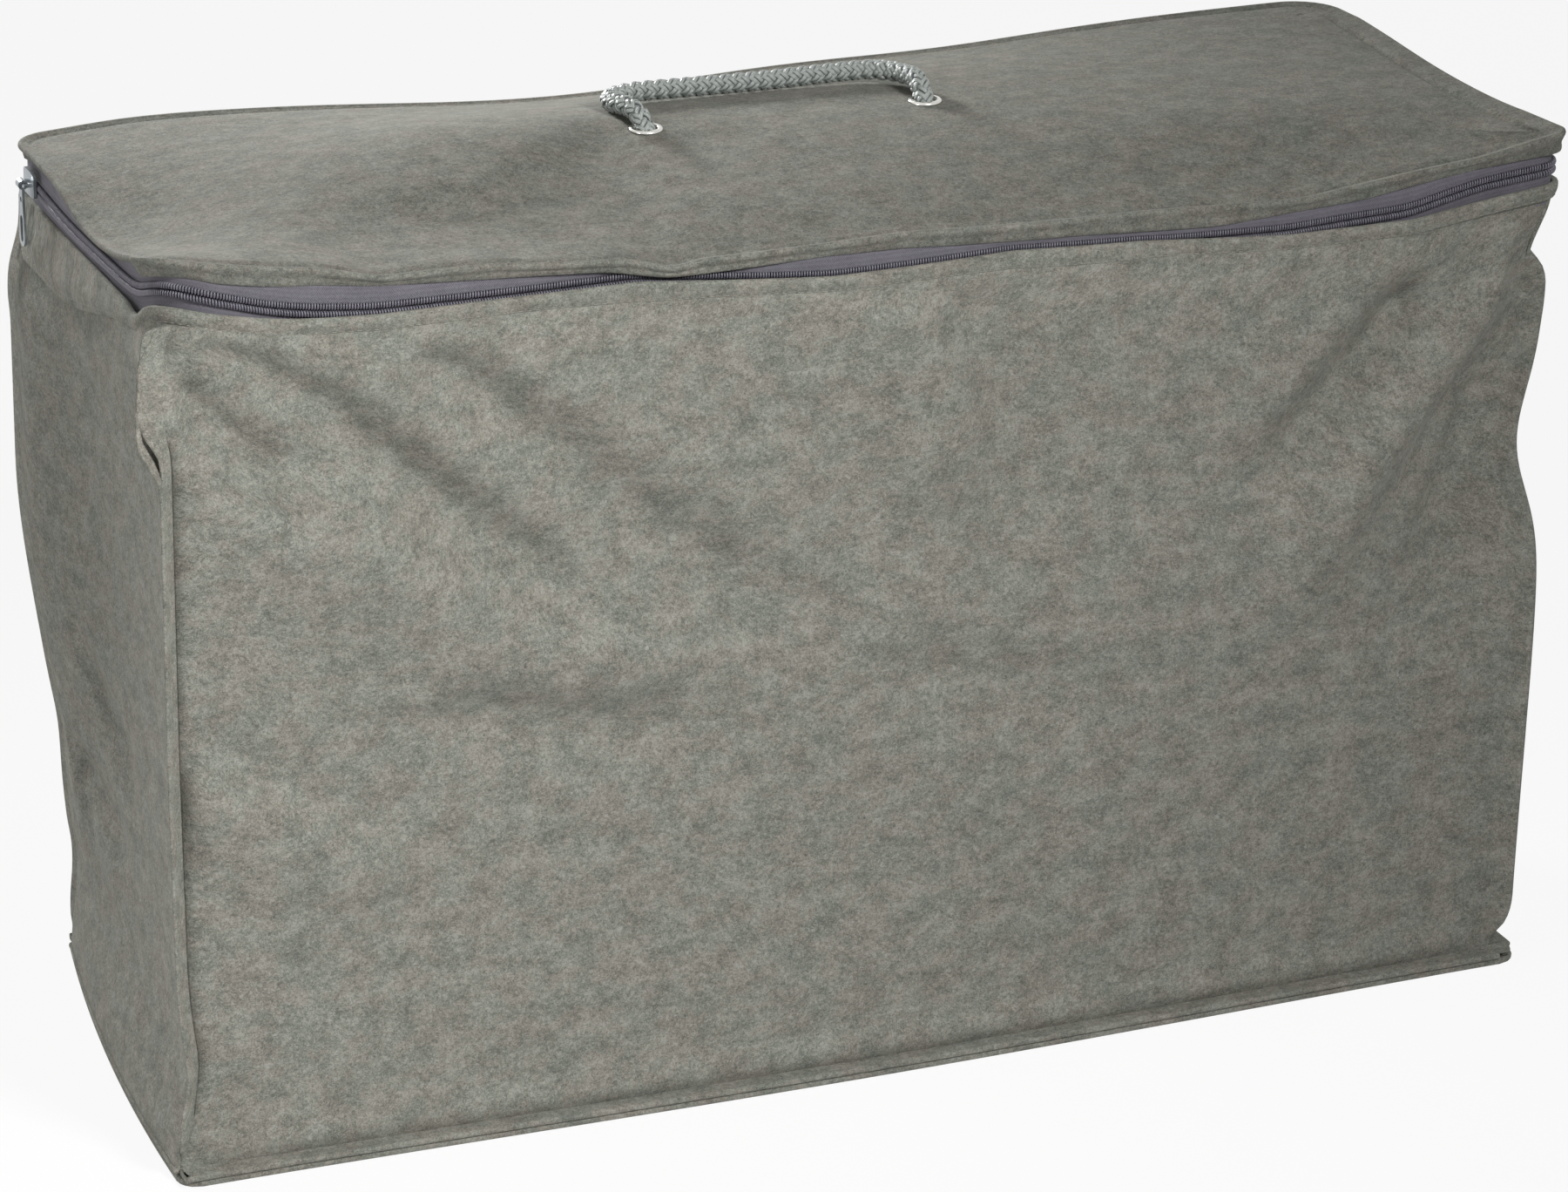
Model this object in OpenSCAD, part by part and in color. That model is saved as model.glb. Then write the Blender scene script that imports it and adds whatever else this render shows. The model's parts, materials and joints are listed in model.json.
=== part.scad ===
// Felt storage bag for the space under a bed: six felt panels sewn with their edges turned outward,
// a lid that folds back on its sewn rear edge, a coil zip round the other three sides of the rim,
// and a cord carrying handle held in two eyelets. X is the width, the front faces -Y, Z is up,
// and the origin lies on the floor under the middle of the bag.

/* [Bag] */
// Width over the lid, left to right
bag_w = 650; // [580:5:760]
// Depth over the lid, front to back
bag_d = 243; // [210:1:320]
// Height of the zip's centre line above the floor
zip_h = 389; // [320:1:480]
// Radius of the rim's front corners
front_corner_r = 30; // [24:1:40]
// Radius of the lid's back corners
back_corner_r = 16; // [12:1:22]

/* [Felt] */
// Thickness of the felt
felt_t = 3; // [2:0.1:4]
// Width of the seam edges that stand outward
seam_w = 8.5; // [6:0.5:12]
// Bend radius where a wall turns out onto the base
turn_r = 4; // [3:0.5:6]
// Height of the lid's turned-down edge
skirt_h = 8; // [6:0.5:12]
// Radius of the fold along the lid's edge
lid_fold_r = 2.6; // [1.5:0.1:4]
// Gap between felt layers that are sewn together
sew_gap = 0.25; // [0.2:0.05:0.5]

/* [Soft shape] */
// Drop of the rim at the middle of the front
rim_sag = 11; // [0:1:16]
// Forward bow of the rim at the middle of the front
rim_bow = 10; // [0:1:16]
// Outward bow of the front wall at half height
front_bow = 7; // [0:1:14]
// Outward bow of the back wall at half height
back_bow = 5; // [0:1:14]
// Outward bow of the long edges at the floor
base_bow = 5; // [0:1:10]
// Draw-in of the end walls below the rim
waist_in = 6; // [0:1:10]
// Draw-in of the back corners at the floor
back_lean = 12; // [0:1:18]
// Inward dish of the end walls
end_dish = 5; // [0:1:10]
// Rise of the lid's middle above its edge
lid_crown = 8; // [0:1:14]
// Dip of the lid's back edge at its middle
back_dip = 4; // [0:1:6]

/* [Zip] */
// Depth of felt-free band from the zip's centre line down to the walls
zip_band_low = 6.6; // [6:0.1:8]
// Height of felt-free band from the zip's centre line up to the lid's edge
zip_band_high = 9; // [7:0.5:12]
// Thickness of the tape
tape_t = 0.8; // [0.6:0.05:1]
// Width of the tape sewn into the walls
tape_w = 16; // [14:0.5:18]
// Height of one row of the coil
coil_h = 2.4; // [2:0.1:3]
// Thickness of the coil
coil_t = 2; // [1.6:0.1:2.4]
// Space between the two rows of the coil
coil_gap = 1.6; // [1.4:0.1:2]
// Distance of the zip's ends from the back of the lid
zip_end = 21; // [18:1:30]

/* [Slider] */
// Length of the slider
slider_l = 17; // [14:0.5:20]
// Width of the slider at its leading end
slider_w = 11.6; // [10.6:0.2:12.4]
// Thickness of the slider's plates
slider_plate_t = 1.4; // [1:0.1:1.8]
// Clearance between the slider and the chain
slider_gap = 0.3; // [0.25:0.05:0.4]
// Radius of the bridge that carries the pull
bridge_r = 0.9; // [0.7:0.05:1.1]
// Length of the bridge between its posts
bridge_l = 8; // [7:0.5:10]
// Length of the pull from the bridge to its tip
pull_l = 29; // [22:1:40]
// Width of the pull at its tip
pull_w = 9; // [7:0.5:12]
// Thickness of the pull
pull_t = 1.2; // [0.8:0.1:1.6]

/* [Handle] */
// Diameter of the cord
cord_d = 9.5; // [8:0.5:11]
// Distance between the two eyelets
grip_w = 134; // [110:2:180]
// Reach of the grip from the eyelets to the bar's centre line
grip_reach = 44; // [36:1:60]
// Bend radius at the grip's corners
grip_bend_r = 20; // [18:1:26]
// Width of the eyelets' flat rims
eyelet_rim = 2.2; // [1.6:0.1:3]
// Wall of the eyelets' barrels
eyelet_wall = 0.5; // [0.4:0.05:0.8]
// Height of the eyelets' domed rims above the felt
eyelet_dome = 1.2; // [0.8:0.1:1.6]
// Diameter of the knots inside the lid
knot_d = 20; // [17:0.5:24]
// Height of the knots
knot_h = 15; // [12:0.5:20]
// Length of cord left below each knot
cord_tail = 14; // [8:1:24]

/* [Hidden] */

felt_colour = [0.50, 0.50, 0.47];
lid_colour = [0.53, 0.53, 0.50];
tape_colour = [0.36, 0.35, 0.40];
coil_colour = [0.30, 0.29, 0.34];
metal_colour = [0.62, 0.66, 0.68];
cord_colour = [0.62, 0.64, 0.61];

// Half sizes and levels that the panels share
half_w = bag_w / 2;
half_d = bag_d / 2;
wall_top = zip_h - zip_band_low;
lid_edge = zip_h + zip_band_high + skirt_h;
turned_z = 1.5 * felt_t + sew_gap;
seam_reach = felt_t / 2 + seam_w;
hinge_gap = 0.5;
hinge_y = half_d + 0.4;

// Depths below the rim over which the shape changes, and heights above the floor
rim_level = 12;
corner_fade = 34;
seam_start = [20, 34];
waist_fade = 60;
bow_fade = 118;
lean_span = [90, 250];
seam_foot = [13, 24];
base_bow_fade = 120;
back_notch = [50, 24];

// Smooth step from 0 at a to 1 at b
function ease(a, b, x) = let (t = max(0, min(1, (x - a) / (b - a)))) t * t * (3 - 2 * t);
// 1 in the middle and 0, with level ends, at both limits
function hump(x, half) = let (q = max(0, 1 - pow(x / half, 2))) q * q;
function unit(v) = v / norm(v);
function flat(lists) = [for (list = lists) for (item = list) item];

// The rim and the walls, as functions of the place: side is -1 at the front and 1 at the back
function corner_r(side) = side < 0 ? front_corner_r : back_corner_r;
function sag(x) = rim_sag * hump(x, half_w);
function rim_bow_at(x) = rim_bow * hump(x, half_w);
function squareness(depth) = ease(rim_level, rim_level + corner_fade, depth);
function waist(depth) = waist_in * ease(rim_level, rim_level + waist_fade, depth);
function lean(y, z) =
    back_lean * max(0, min(1, (y + half_d) / bag_d)) * (1 - ease(lean_span[0], lean_span[1], z));
function belly(z) = hump(z - wall_top / 2, wall_top / 2);
function rounding(reach, r) = let (e = max(0, min(r * sin(45), reach))) r - sqrt(r * r - e * e);
function end_x(y, z) =
    half_w - felt_t / 2 - waist(wall_top - z) - lean(y, z) - end_dish * hump(y, half_d) * belly(z);
function wall_y(side, x, z, depth) =
    half_d - felt_t / 2 + hump(x, half_w) * (
        base_bow * (1 - ease(0, base_bow_fade, z))
        + (side < 0 ? front_bow : back_bow) * belly(z)
        + (side < 0 ? rim_bow * (1 - ease(rim_level, rim_level + bow_fade, depth)) : 0));
function wall_rim(side, x) = side < 0
    ? wall_top - sag(x)
    : wall_top + (zip_band_low - hinge_gap)
        * (1 - ease(half_w - back_notch[0], half_w - back_notch[1], abs(x)));

// Half length of a long wall at a height: to the corner at the rim, past it where the seam stands out
function long_half(side, z) =
    let (r = corner_r(side) - felt_t / 2,
         depth = wall_top - z,
         corner = end_x(side * half_d, z) - (1 - sin(45)) * r * (1 - squareness(depth)),
         out = ease(seam_start[0], seam_start[1], depth),
         foot = ease(seam_foot[0], seam_foot[1], z))
    corner + (out * seam_reach - (1 - out) * 3 * sew_gap) * foot - (1 - foot) * felt_t;
function end_half(side, z) =
    let (r = corner_r(side) - felt_t / 2, s = squareness(wall_top - z))
    half_d - felt_t / 2 - sew_gap - s * felt_t / 2 - (1 - s) * (1 - sin(45)) * r
        - 3 * felt_t * s * (1 - s);

// Rows of a wall from the turned-out edge up to the rim: reach outward and height at the foot, drops at the rim
foot_rows = concat([[seam_reach, turned_z], [turn_r, turned_z]],
    [for (a = [30 : 30 : 90]) [turn_r * (1 - sin(a)), turned_z + turn_r * (1 - cos(a))]],
    [for (z = seam_foot) [0, z]]);
rim_drops = [70, 56, 46, 38, 31, 24, 17, 11, 5, 0];
mid_rows = 6;
function row_z(row, rim) =
    let (lowest = rim - rim_drops[0], k = row - len(foot_rows))
    row < len(foot_rows) ? foot_rows[row][1]
    : k < mid_rows ? seam_foot[1] + (k + 1) / (mid_rows + 1) * (lowest - seam_foot[1])
    : rim - rim_drops[k - mid_rows];
function row_out(row) = row < len(foot_rows) ? foot_rows[row][0] : 0;
row_count = len(foot_rows) + mid_rows + len(rim_drops);
// Even steps drawn closer together towards both ends
function spread(k, n) = let (s = 2 * k / n - 1) s * (1.5 - 0.5 * s * s);

long_columns = 24;
function long_point(side, column, row) =
    let (u = spread(column, long_columns),
         rim = wall_rim(side, u * half_w),
         z = row_z(row, rim),
         depth = (side < 0 ? rim : wall_top) - z,
         x = u * long_half(side, z + (side < 0 ? wall_top - rim : 0)),
         r = corner_r(side) - felt_t / 2,
         turn = rounding(abs(x) - end_x(side * half_d, z) + r, r) * (1 - squareness(depth)))
    [x, side * (wall_y(side, x, z, depth) - turn + row_out(row)), z];

end_columns = 18;
function end_point(hand, column, row) =
    let (u = spread(column, end_columns),
         z = row_z(row, wall_top),
         y = u * end_half(u < 0 ? -1 : 1, z),
         r = corner_r(u < 0 ? -1 : 1) - felt_t / 2,
         turn = rounding(abs(y) - half_d + felt_t / 2 + r, r) * (1 - squareness(wall_top - z)))
    [hand * (end_x(y, z) - turn + row_out(row)), y, z];

// A sheet of even thickness on a grid of points of its middle surface
function sheet_normal(g, i, j) =
    unit(cross(g[min(i + 1, len(g) - 1)][j] - g[max(i - 1, 0)][j],
               g[i][min(j + 1, len(g[0]) - 1)] - g[i][max(j - 1, 0)]));
function quad(a, b, c, d) = [[a, b, c], [a, c, d]];
module sheet(g, t) {
    n = len(g);
    m = len(g[0]);
    skin = [for (side = [0.5, -0.5]) for (i = [0 : n - 1]) for (j = [0 : m - 1])
        g[i][j] + side * t * sheet_normal(g, i, j)];
    under = n * m;
    faces = flat(concat(
        [for (i = [0 : n - 2]) for (j = [0 : m - 2])
            quad(i * m + j, i * m + j + 1, (i + 1) * m + j + 1, (i + 1) * m + j)],
        [for (i = [0 : n - 2]) for (j = [0 : m - 2])
            quad(under + i * m + j, under + (i + 1) * m + j, under + (i + 1) * m + j + 1, under + i * m + j + 1)],
        [for (i = [0 : n - 2]) for (j = [0, m - 1]) let (a = i * m + j, b = a + m)
            j == 0 ? quad(a, b, under + b, under + a) : quad(b, a, under + a, under + b)],
        [for (j = [0 : m - 2]) for (i = [0, n - 1]) let (a = i * m + j, b = a + 1)
            i == 0 ? quad(b, a, under + a, under + b) : quad(a, b, under + b, under + a)]));
    polyhedron(skin, faces);
}

// The rim's plan: points with their outward direction, along one straight run or round one corner
function run(from, to, n) =
    let (t = unit(to - from)) [for (k = [0 : n - 1]) concat(from + (to - from) * k / n, [t.y, -t.x])];
function turn(side, hand, r, inset, a, n) =
    let (c = [hand * (half_w - r), side * (half_d - r)])
    [for (k = [0 : n - 1]) let (d = [cos(a + 90 * k / n), sin(a + 90 * k / n)]) concat(c + (r - inset) * d, d)];
function bowed(p) = [p[0], p[1] - rim_bow_at(p[0]) * max(0, -p[3]), p[2], p[3]];
corner_steps = 6;
side_steps = 4;
front_steps = 18;
back_steps = 12;
fr = front_corner_r;
br = back_corner_r;
// The three zipped sides, from the back of the left side round to the back of the right side
function zip_plan(inset, y_end) = [for (p = concat(
    run([inset - half_w, y_end], [inset - half_w, fr - half_d], side_steps),
    turn(-1, -1, fr, inset, 180, corner_steps),
    run([fr - half_w, inset - half_d], [half_w - fr, inset - half_d], front_steps),
    turn(-1, 1, fr, inset, 270, corner_steps),
    run([half_w - inset, fr - half_d], [half_w - inset, y_end], side_steps),
    [[half_w - inset, y_end, 1, 0]])) bowed(p)];
// The lid's whole edge
lid_plan = [for (p = concat(
    run([-half_w, half_d - br], [-half_w, fr - half_d], side_steps),
    turn(-1, -1, fr, 0, 180, corner_steps),
    run([fr - half_w, -half_d], [half_w - fr, -half_d], front_steps),
    turn(-1, 1, fr, 0, 270, corner_steps),
    run([half_w, fr - half_d], [half_w, half_d - br], side_steps),
    turn(1, 1, br, 0, 0, corner_steps),
    run([half_w - br, half_d], [br - half_w, half_d], back_steps),
    turn(1, -1, br, 0, 90, corner_steps))) bowed(p)];

// A closed section of offsets outward and upward, carried along the zipped rim
module carry(plan, section) {
    n = len(plan);
    m = len(section);
    points = [for (p = plan) for (q = section)
        [p[0] + p[2] * q[0], p[1] + p[3] * q[0], zip_h - sag(p[0]) + q[1]]];
    last = (n - 1) * m;
    faces = flat(concat(
        [for (i = [0 : n - 2]) for (j = [0 : m - 1]) let (k = (j + 1) % m)
            quad(i * m + j, i * m + k, (i + 1) * m + k, (i + 1) * m + j)],
        [for (j = [1 : m - 2]) [[0, j + 1, j], [last, last + j, last + j + 1]]]));
    polyhedron(points, faces);
}

// Height of the lid's upper face
function lid_z(x, y) =
    lid_edge - sag(x) * pow(max(0, min(1, -y / half_d)), 2)
    - back_dip * hump(x, half_w) * pow(max(0, min(1, y / half_d)), 2)
    + lid_crown * max(0, 1 - pow(x / half_w, 2)) * max(0, 1 - pow(y / half_d, 2));
// Lower end of the lid's edge: above the zip on three sides, on the hinge line at the back
function skirt_z(p) =
    let (back = max(0, p[3]))
    (1 - back) * (lid_edge - skirt_h - sag(p[0])) + back * (zip_h + hinge_gap);

module lid_shell() {
    shrink = [0.25, 0.5, 0.72, 0.88, 0.96];
    inner_fold = lid_fold_r / 2;
    rise = function (inset, share, drop) [for (p = lid_plan)
        let (x = (p[0] - inset * p[2]) * share, y = (p[1] - inset * p[3]) * share) [x, y, lid_z(x, y) - drop]];
    hem = function (inset) [for (p = lid_plan) [p[0] - inset * p[2], p[1] - inset * p[3], skirt_z(p)]];
    rings = concat(
        [for (s = shrink) rise(lid_fold_r, s, 0)],
        [for (a = [0 : 30 : 90]) rise(lid_fold_r * (1 - sin(a)), 1, lid_fold_r * (1 - cos(a)))],
        [hem(0), hem(felt_t)],
        [rise(felt_t, 1, felt_t + inner_fold), rise(felt_t + inner_fold, 1, felt_t)],
        [for (k = [len(shrink) - 1 : -1 : 0]) rise(felt_t + inner_fold, shrink[k], felt_t)]);
    n = len(rings);
    m = len(lid_plan);
    top = n * m;
    faces = flat(concat(
        [for (i = [0 : n - 2]) for (j = [0 : m - 1]) let (k = (j + 1) % m)
            quad(i * m + j, i * m + k, (i + 1) * m + k, (i + 1) * m + j)],
        [for (j = [0 : m - 1]) let (k = (j + 1) % m)
            [[top, k, j], [top + 1, (n - 1) * m + j, (n - 1) * m + k]]]));
    polyhedron(concat(flat(rings), [[0, 0, lid_z(0, 0)], [0, 0, lid_z(0, 0) - felt_t]]), faces);
}

// Zip sections, as offsets from the tape's middle plane
tape_gap = 0.6;
tape_inset = felt_t + tape_gap + tape_t / 2;
tape_y_end = half_d - zip_end + 6;
chain_y_end = half_d - zip_end;
chain_x = half_w - tape_inset;
coil_in = tape_t / 2 + 0.05;
coil_out = coil_in + coil_t;
coil_bevel = 0.6;
tape_top = zip_band_high + skirt_h - felt_t - lid_fold_r / 2 - 1;
function tape_section(up) =
    let (lo = up ? coil_gap / 2 : -coil_gap / 2 - tape_w, hi = up ? tape_top : -coil_gap / 2)
    [[tape_t / 2, lo], [-tape_t / 2, lo], [-tape_t / 2, hi], [tape_t / 2, hi]];
function coil_section(up) =
    let (a = coil_gap / 2, b = a + coil_h, lo = up ? a : -b, hi = up ? b : -a, c = coil_bevel)
    [[coil_out - c, lo], [coil_in, lo], [coil_in, hi], [coil_out - c, hi], [coil_out, hi - c], [coil_out, lo + c]];

// Slider, built along the left side and centred on its own middle
stop_l = 3;
slider_y = chain_y_end - slider_l / 2 - 0.5;
channel_in = tape_t / 2 + slider_gap;
channel_out = coil_out + slider_gap;
plate_out = channel_out + slider_plate_t;
bridge_rise = 3.2;
bridge_out = plate_out + bridge_rise;
eye_r = 2.2;
eye_l = 5;
neck_l = 5;
neck_h = coil_gap - 2 * slider_gap;
lip_h = 1.6;

module rounded(l, w, r) {
    square([l - 2 * r, w], center = true);
    square([l, w - 2 * r], center = true);
    for (x = [-1, 1]) for (y = [-1, 1]) translate([x * (l / 2 - r), y * (w / 2 - r)]) circle(r, $fn = 48);
}

// Local frame of the slider: X outward, Y along the chain, Z up
module at_slider() { translate([-chain_x, slider_y, zip_h]) mirror([1, 0, 0]) children(); }
module upright(from, to) { translate([from, 0, 0]) rotate([90, 0, 90]) linear_extrude(to - from) children(); }

module slider_plate_outline() {
    corner = 2.4;
    tail_w = slider_w - 1.6;
    intersection() {
        rounded(slider_l, slider_w, corner);
        polygon([[-slider_l / 2, -tail_w / 2], [-slider_l / 6, -slider_w / 2], [slider_l / 2, -slider_w / 2],
            [slider_l / 2, slider_w / 2], [-slider_l / 6, slider_w / 2], [-slider_l / 2, tail_w / 2]]);
    }
}

module slider_body() {
    post_y = bridge_l / 2;
    upright(channel_out, plate_out) slider_plate_outline();
    upright(-channel_in - slider_plate_t, -channel_in) slider_plate_outline();
    upright(-channel_in - slider_plate_t / 2, plate_out - slider_plate_t / 2)
        translate([slider_l / 2 - neck_l / 2 - 1, 0]) square([neck_l, neck_h], center = true);
    upright(channel_in, channel_out + slider_plate_t / 2) intersection() {
        slider_plate_outline();
        translate([0, lip_h / 2 - slider_w / 2]) square([slider_l, lip_h], center = true);
    }
    for (y = [-1, 1]) {
        translate([plate_out - slider_plate_t / 2, y * post_y, 0]) rotate([0, 90, 0])
            cylinder(r = bridge_r, h = bridge_rise + slider_plate_t / 2, $fn = 32);
        translate([bridge_out, y * post_y, 0]) sphere(bridge_r, $fn = 32);
    }
    translate([bridge_out, -post_y, 0]) rotate([-90, 0, 0]) cylinder(r = bridge_r, h = bridge_l, $fn = 32);
}

// Pull, hanging from the bridge: a rolled eye, a waisted tab, a small hole and a finger slot
module pull_body() {
    eye_bore = bridge_r + 0.2;
    neck_w = eye_l;
    slot_w = pull_w - 4.4;
    slot_l = pull_l * 0.42;
    tip_r = pull_w / 2;
    difference() {
        union() {
            translate([bridge_out, -eye_l / 2, 0]) rotate([-90, 0, 0]) cylinder(r = eye_r, h = eye_l, $fn = 48);
            upright(bridge_out - pull_t / 2, bridge_out + pull_t / 2) {
                translate([0, tip_r - pull_l]) circle(tip_r, $fn = 64);
                polygon([[-neck_w / 2, -eye_r / 2], [neck_w / 2, -eye_r / 2], [neck_w / 2, -pull_l / 4],
                    [tip_r, tip_r - pull_l], [-tip_r, tip_r - pull_l], [-neck_w / 2, -pull_l / 4]]);
            }
        }
        translate([bridge_out, -eye_l, 0]) rotate([-90, 0, 0]) cylinder(r = eye_bore, h = 2 * eye_l, $fn = 48);
        upright(bridge_out - pull_t, bridge_out + pull_t) {
            translate([0, -pull_l / 4]) circle(pull_t, $fn = 32);
            translate([0, tip_r - pull_l + (slot_l - slot_w) / 2]) rotate(90) rounded(slot_l, slot_w, slot_w / 2 - 0.01);
        }
    }
}

// A small clip on the end of a tape: two legs joined by a web past the tape's edge
stop_leg = 0.7;
stop_gap = 0.08;
stop_h = coil_gap / 2 + coil_h;
web_h = 0.45;
module stop_clip(up) {
    inner = tape_t / 2 + stop_gap;
    web_at = coil_gap / 2 - stop_gap - web_h;
    flip = up ? 0 : 1;
    mirror([0, 0, flip]) {
        for (x = [-inner - stop_leg, inner])
            translate([x, 0, web_at]) cube([stop_leg, stop_l, stop_h - web_at]);
        translate([-inner - stop_leg, 0, web_at]) cube([2 * (inner + stop_leg), stop_l, web_h]);
    }
}
module at_zip_end(hand) { translate([hand * chain_x, chain_y_end + 0.2, zip_h]) children(); }

// Eyelets, knots and grip
eyelet_x = grip_w / 2;
eyelet_bore = cord_d / 2 + 0.3;
barrel_r = eyelet_bore + eyelet_wall;
rim_r = barrel_r + eyelet_rim;
seat_gap = 0.15;
washer_gap = 0.4;
seat_z = lid_z(eyelet_x, 0) + seat_gap;
washer_t = 0.8;
washer_z = seat_z - seat_gap - felt_t - washer_gap - washer_t;
roll_r = 0.6;
cord_r = cord_d / 2;
tail_top = seat_z + eyelet_dome;
grip_z = tail_top + cord_r + 0.3;
knot_top = washer_z - 3;

module eyelet_ring() {
    rotate_extrude($fn = 96) {
        translate([eyelet_bore, washer_z - roll_r]) square([eyelet_wall, seat_z - washer_z + roll_r + eyelet_dome / 2]);
        intersection() {
            translate([eyelet_bore, seat_z]) square([rim_r - eyelet_bore, eyelet_dome]);
            translate([(eyelet_bore + rim_r) / 2, seat_z]) scale(eyelet_dome)
                circle((rim_r - eyelet_bore) / 2 / eyelet_dome, $fn = 48);
        }
        translate([barrel_r, washer_z - roll_r - 0.05]) circle(roll_r, $fn = 32);
    }
}
module eyelet(hand) { translate([hand * eyelet_x, 0, 0]) eyelet_ring(); }
module washer(hand) {
    translate([hand * eyelet_x, 0, washer_z]) difference() {
        cylinder(r = rim_r, h = washer_t, $fn = 96);
        translate([0, 0, -washer_t]) cylinder(r = barrel_r + 0.1, h = 3 * washer_t, $fn = 96);
    }
}

// The stopper knot: cord through the eyelet, a barrel of turns with a waist between them, and the free end
module knot(hand) {
    turn_r = knot_h / 4;
    translate([hand * eyelet_x, 0, 0]) {
        translate([0, 0, knot_top - knot_h - cord_tail])
            cylinder(r = cord_r, h = tail_top - knot_top + knot_h + cord_tail, $fn = 48);
        rotate_extrude($fn = 96) for (k = [0, 1]) translate([0, knot_top - knot_h + (2 * k + 1) * turn_r]) {
            translate([knot_d / 2 - turn_r, 0]) circle(turn_r, $fn = 48);
            translate([0, -turn_r]) square([knot_d / 2 - turn_r, 2 * turn_r]);
        }
    }
}

// The grip lies back on the lid: two legs from the eyelets, two bends and the bar
module grip() {
    leg = grip_reach - grip_bend_r;
    translate([0, 0, grip_z]) {
        for (hand = [-1, 1]) {
            translate([hand * eyelet_x, 0, 0]) {
                sphere(cord_r, $fn = 48);
                rotate([-90, 0, 0]) cylinder(r = cord_r, h = leg, $fn = 48);
            }
            translate([hand * (eyelet_x - grip_bend_r), leg, 0]) rotate(hand > 0 ? 0 : 90)
                rotate_extrude(angle = 90, $fn = 96) translate([grip_bend_r, 0]) circle(cord_r, $fn = 48);
        }
        translate([grip_bend_r - eyelet_x, grip_reach, 0]) rotate([0, 90, 0])
            cylinder(r = cord_r, h = grip_w - 2 * grip_bend_r, $fn = 48);
    }
}

// The base: a flat sheet out to the edges of the turned-out walls, with rounded corners
base_corner_r = 9;
base_steps = 16;
function base_edge(side, x) = side * (wall_y(side, x, 0, wall_top) + seam_reach);
function base_side(y) = end_x(y, 0) + seam_reach;
function base_corner(hand, side) =
    let (c = [hand * (base_side(side * half_d) - base_corner_r), base_edge(side, half_w) - side * base_corner_r],
         from = side < 0 ? (hand < 0 ? 180 : 270) : (hand < 0 ? 90 : 0))
    [for (k = [0 : 6]) c + base_corner_r * [cos(from + 15 * k), sin(from + 15 * k)]];
function base_run(side) = let (reach = base_side(side * half_d) - 2 * base_corner_r)
    [for (k = [0 : base_steps]) let (x = -side * (2 * k / base_steps - 1) * reach) [x, base_edge(side, x)]];

module base_panel() {
    color(felt_colour) linear_extrude(felt_t) polygon(concat(
        base_corner(-1, -1), base_run(-1), base_corner(1, -1), base_corner(1, 1), base_run(1), base_corner(-1, 1)));
}
module long_panel(side) {
    columns = side < 0 ? [0 : long_columns] : [long_columns : -1 : 0];
    sheet([for (c = columns) [for (r = [0 : row_count - 1]) long_point(side, c, r)]], felt_t);
}
module end_panel(hand) {
    columns = hand < 0 ? [end_columns : -1 : 0] : [0 : end_columns];
    sheet([for (c = columns) [for (r = [0 : row_count - 1]) end_point(hand, c, r)]], felt_t);
}
module front_panel() { color(felt_colour) long_panel(-1); }
module back_panel() { color(felt_colour) long_panel(1); }
module left_end_panel() { color(felt_colour) end_panel(-1); }
module right_end_panel() { color(felt_colour) end_panel(1); }
module lid_panel() {
    color(lid_colour) difference() {
        lid_shell();
        for (hand = [-1, 1]) translate([hand * eyelet_x, 0, lid_edge - felt_t])
            cylinder(r = barrel_r + 0.2, h = 4 * felt_t + lid_crown, $fn = 96);
    }
}
module zip_tape_lower() { color(tape_colour) carry(zip_plan(tape_inset, tape_y_end), tape_section(false)); }
module zip_tape_upper() { color(tape_colour) carry(zip_plan(tape_inset, tape_y_end), tape_section(true)); }
module zip_coil_lower() { color(coil_colour) carry(zip_plan(tape_inset, chain_y_end), coil_section(false)); }
module zip_coil_upper() { color(coil_colour) carry(zip_plan(tape_inset, chain_y_end), coil_section(true)); }
module zip_top_stop_lower() { color(metal_colour) at_zip_end(-1) stop_clip(false); }
module zip_top_stop_upper() { color(metal_colour) at_zip_end(-1) stop_clip(true); }
module zip_bottom_stop() {
    web = 2 * (tape_t / 2 + stop_gap + stop_leg);
    color(metal_colour) at_zip_end(1) {
        stop_clip(false);
        stop_clip(true);
        translate([0, stop_l / 2, 0]) cube([web, stop_l, coil_gap - 2 * (stop_gap + web_h / 2)], center = true);
    }
}
module zip_slider() { color(metal_colour) at_slider() slider_body(); }
module zip_pull() { color(metal_colour) at_slider() pull_body(); }
module eyelet_left() { color(metal_colour) eyelet(-1); }
module eyelet_right() { color(metal_colour) eyelet(1); }
module eyelet_washer_left() { color(metal_colour) washer(-1); }
module eyelet_washer_right() { color(metal_colour) washer(1); }
module handle_cord() { color(cord_colour) grip(); }
module handle_knot_left() { color(cord_colour) knot(-1); }
module handle_knot_right() { color(cord_colour) knot(1); }

base_panel();
front_panel();
back_panel();
left_end_panel();
right_end_panel();
lid_panel();
zip_tape_lower();
zip_tape_upper();
zip_coil_lower();
zip_coil_upper();
zip_top_stop_lower();
zip_top_stop_upper();
zip_bottom_stop();
zip_slider();
zip_pull();
eyelet_left();
eyelet_right();
eyelet_washer_left();
eyelet_washer_right();
handle_cord();
handle_knot_left();
handle_knot_right();
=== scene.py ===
# Felt storage bag with a zipped lid and a braided cord handle: its looks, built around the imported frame
import json
import math

import bmesh
import bpy
import numpy as np
from mathutils import Matrix, Vector


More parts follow.
